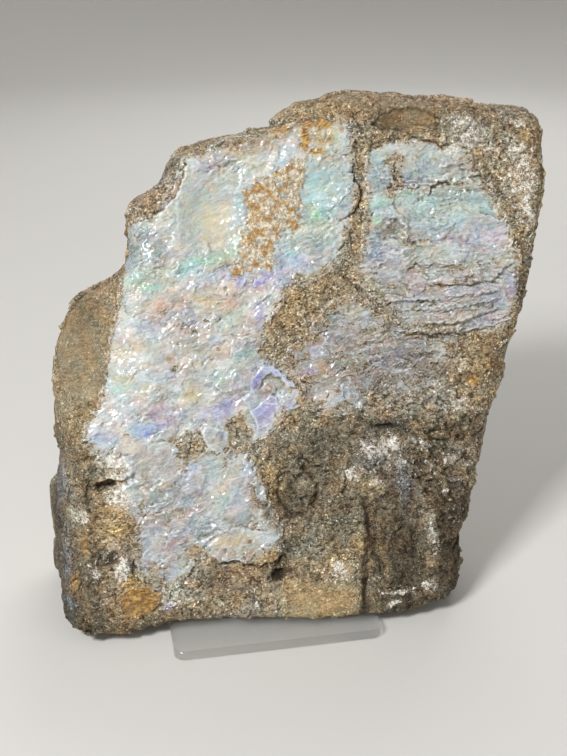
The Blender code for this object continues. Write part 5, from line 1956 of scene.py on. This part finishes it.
# ------------------------ the studio


@dataclass(frozen=True)
class Softbox:
    """A square soft light: its name, its place and side in metres, and its power in watts."""

    name: str
    place: tuple[float, float, float]
    side: float
    power: float

    def build(self, target: Vector) -> None:
        """Hang the light so that it looks at the target."""
        lamp = bpy.data.lights.new(self.name, "AREA")
        lamp.shape = "SQUARE"
        lamp.size = self.side
        lamp.energy = self.power
        item = add_object(self.name, lamp)
        item.location = self.place
        item.rotation_euler = (target - item.location).to_track_quat("-Z", "Y").to_euler()


@dataclass
class Studio:
    """A pale floor that curves up all around, soft lights and the camera."""

    camera_place: tuple[float, float, float] = (-45.38, -294.08, 196.96)
    camera_azimuth: float = -10.5
    camera_elevation: float = 24.0
    lens: float = 52.38
    sensor: float = 36.0
    near_clip: float = 0.01
    floor_reach: float = 0.95
    floor_sides: int = 96
    sweep_radius: float = 0.5
    sweep_steps: int = 16
    sweep_height: float = 1.6
    floor_gap: float = 0.2
    floor_colour: str = "#d9d7d3"
    floor_roughness: float = 0.9
    target: tuple[float, float, float] = (0.015, 0.0, 0.07)
    air_colour: str = "#ffffff"
    air_strength: float = 0.2
    softboxes: tuple[Softbox, ...] = (
        Softbox("key_softbox", (-0.45, -0.42, 0.62), 0.2, 6.4),
        Softbox("fill_softbox", (0.7, -0.6, 0.4), 0.7, 1.4),
        Softbox("back_softbox", (0.3, 0.7, 0.7), 0.6, 4.0),
    )

    def profile(self) -> list[Point]:
        """Return the floor's outline from its flat middle up the wall, as reach and height."""
        outline = [(self.floor_reach, 0.0)]
        for step in range(1, self.sweep_steps + 1):
            angle = math.pi / 2.0 * step / self.sweep_steps
            outline.append((self.floor_reach + self.sweep_radius * math.sin(angle),
                            self.sweep_radius * (1.0 - math.cos(angle))))
        return outline + [(outline[-1][0], self.sweep_height)]

    def floor(self) -> None:
        """Build the floor and the wall that it curves up into all around as one smooth sheet."""
        sheet = bmesh.new()
        turns = [2.0 * math.pi * k / self.floor_sides for k in range(self.floor_sides)]
        rings = [[sheet.verts.new((reach * math.cos(a), reach * math.sin(a), height)) for a in turns]
                 for reach, height in self.profile()]
        sheet.faces.new(rings[0])
        for lower, upper in zip(rings, rings[1:]):
            for k in range(self.floor_sides):
                after = (k + 1) % self.floor_sides
                sheet.faces.new((upper[k], upper[after], lower[after], lower[k]))
        mesh = bpy.data.meshes.new("studio_floor")
        sheet.to_mesh(mesh)
        sheet.free()
        mesh.shade_smooth()
        mesh.materials.append(Shading("pale_paper_sweep").finish({
            "Base Color": linear(self.floor_colour), "Roughness": self.floor_roughness}))
        item = add_object("studio_floor", mesh)
        item.location.z = -self.floor_gap * MM

    def camera(self) -> None:
        """Place the camera."""
        data = bpy.data.cameras.new("camera")
        data.lens = self.lens
        data.sensor_width = self.sensor
        data.clip_start = self.near_clip
        item = add_object("camera", data)
        item.location = Vector(self.camera_place) * MM
        tilt = math.radians(90.0 - self.camera_elevation)
        item.rotation_euler = (tilt, 0.0, math.radians(self.camera_azimuth))
        bpy.context.scene.camera = item

    def build(self) -> None:
        """Set the whole studio."""
        self.camera()
        self.floor()
        for softbox in self.softboxes:
            softbox.build(Vector(self.target))
        world = bpy.data.worlds.new("studio_air")
        world.use_nodes = True
        air = world.node_tree.nodes["Background"].inputs
        air["Color"].default_value = linear(self.air_colour)
        air["Strength"].default_value = self.air_strength
        bpy.context.scene.world = world
        bpy.context.scene.view_settings.view_transform = "Standard"


# ------------------------ main


def main() -> None:
    """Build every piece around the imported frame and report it."""
    logging.basicConfig(level=logging.INFO, format="%(name)s: %(message)s")
    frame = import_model()
    nodes = frame["nodes"]

    Studio().build()
    BoulderOpal().build(nodes["opal_stone"], OpalInIronstone().build())
    AcrylicStand().dress(nodes, ClearAcrylic().build())


if __name__ == "__main__":
    main()
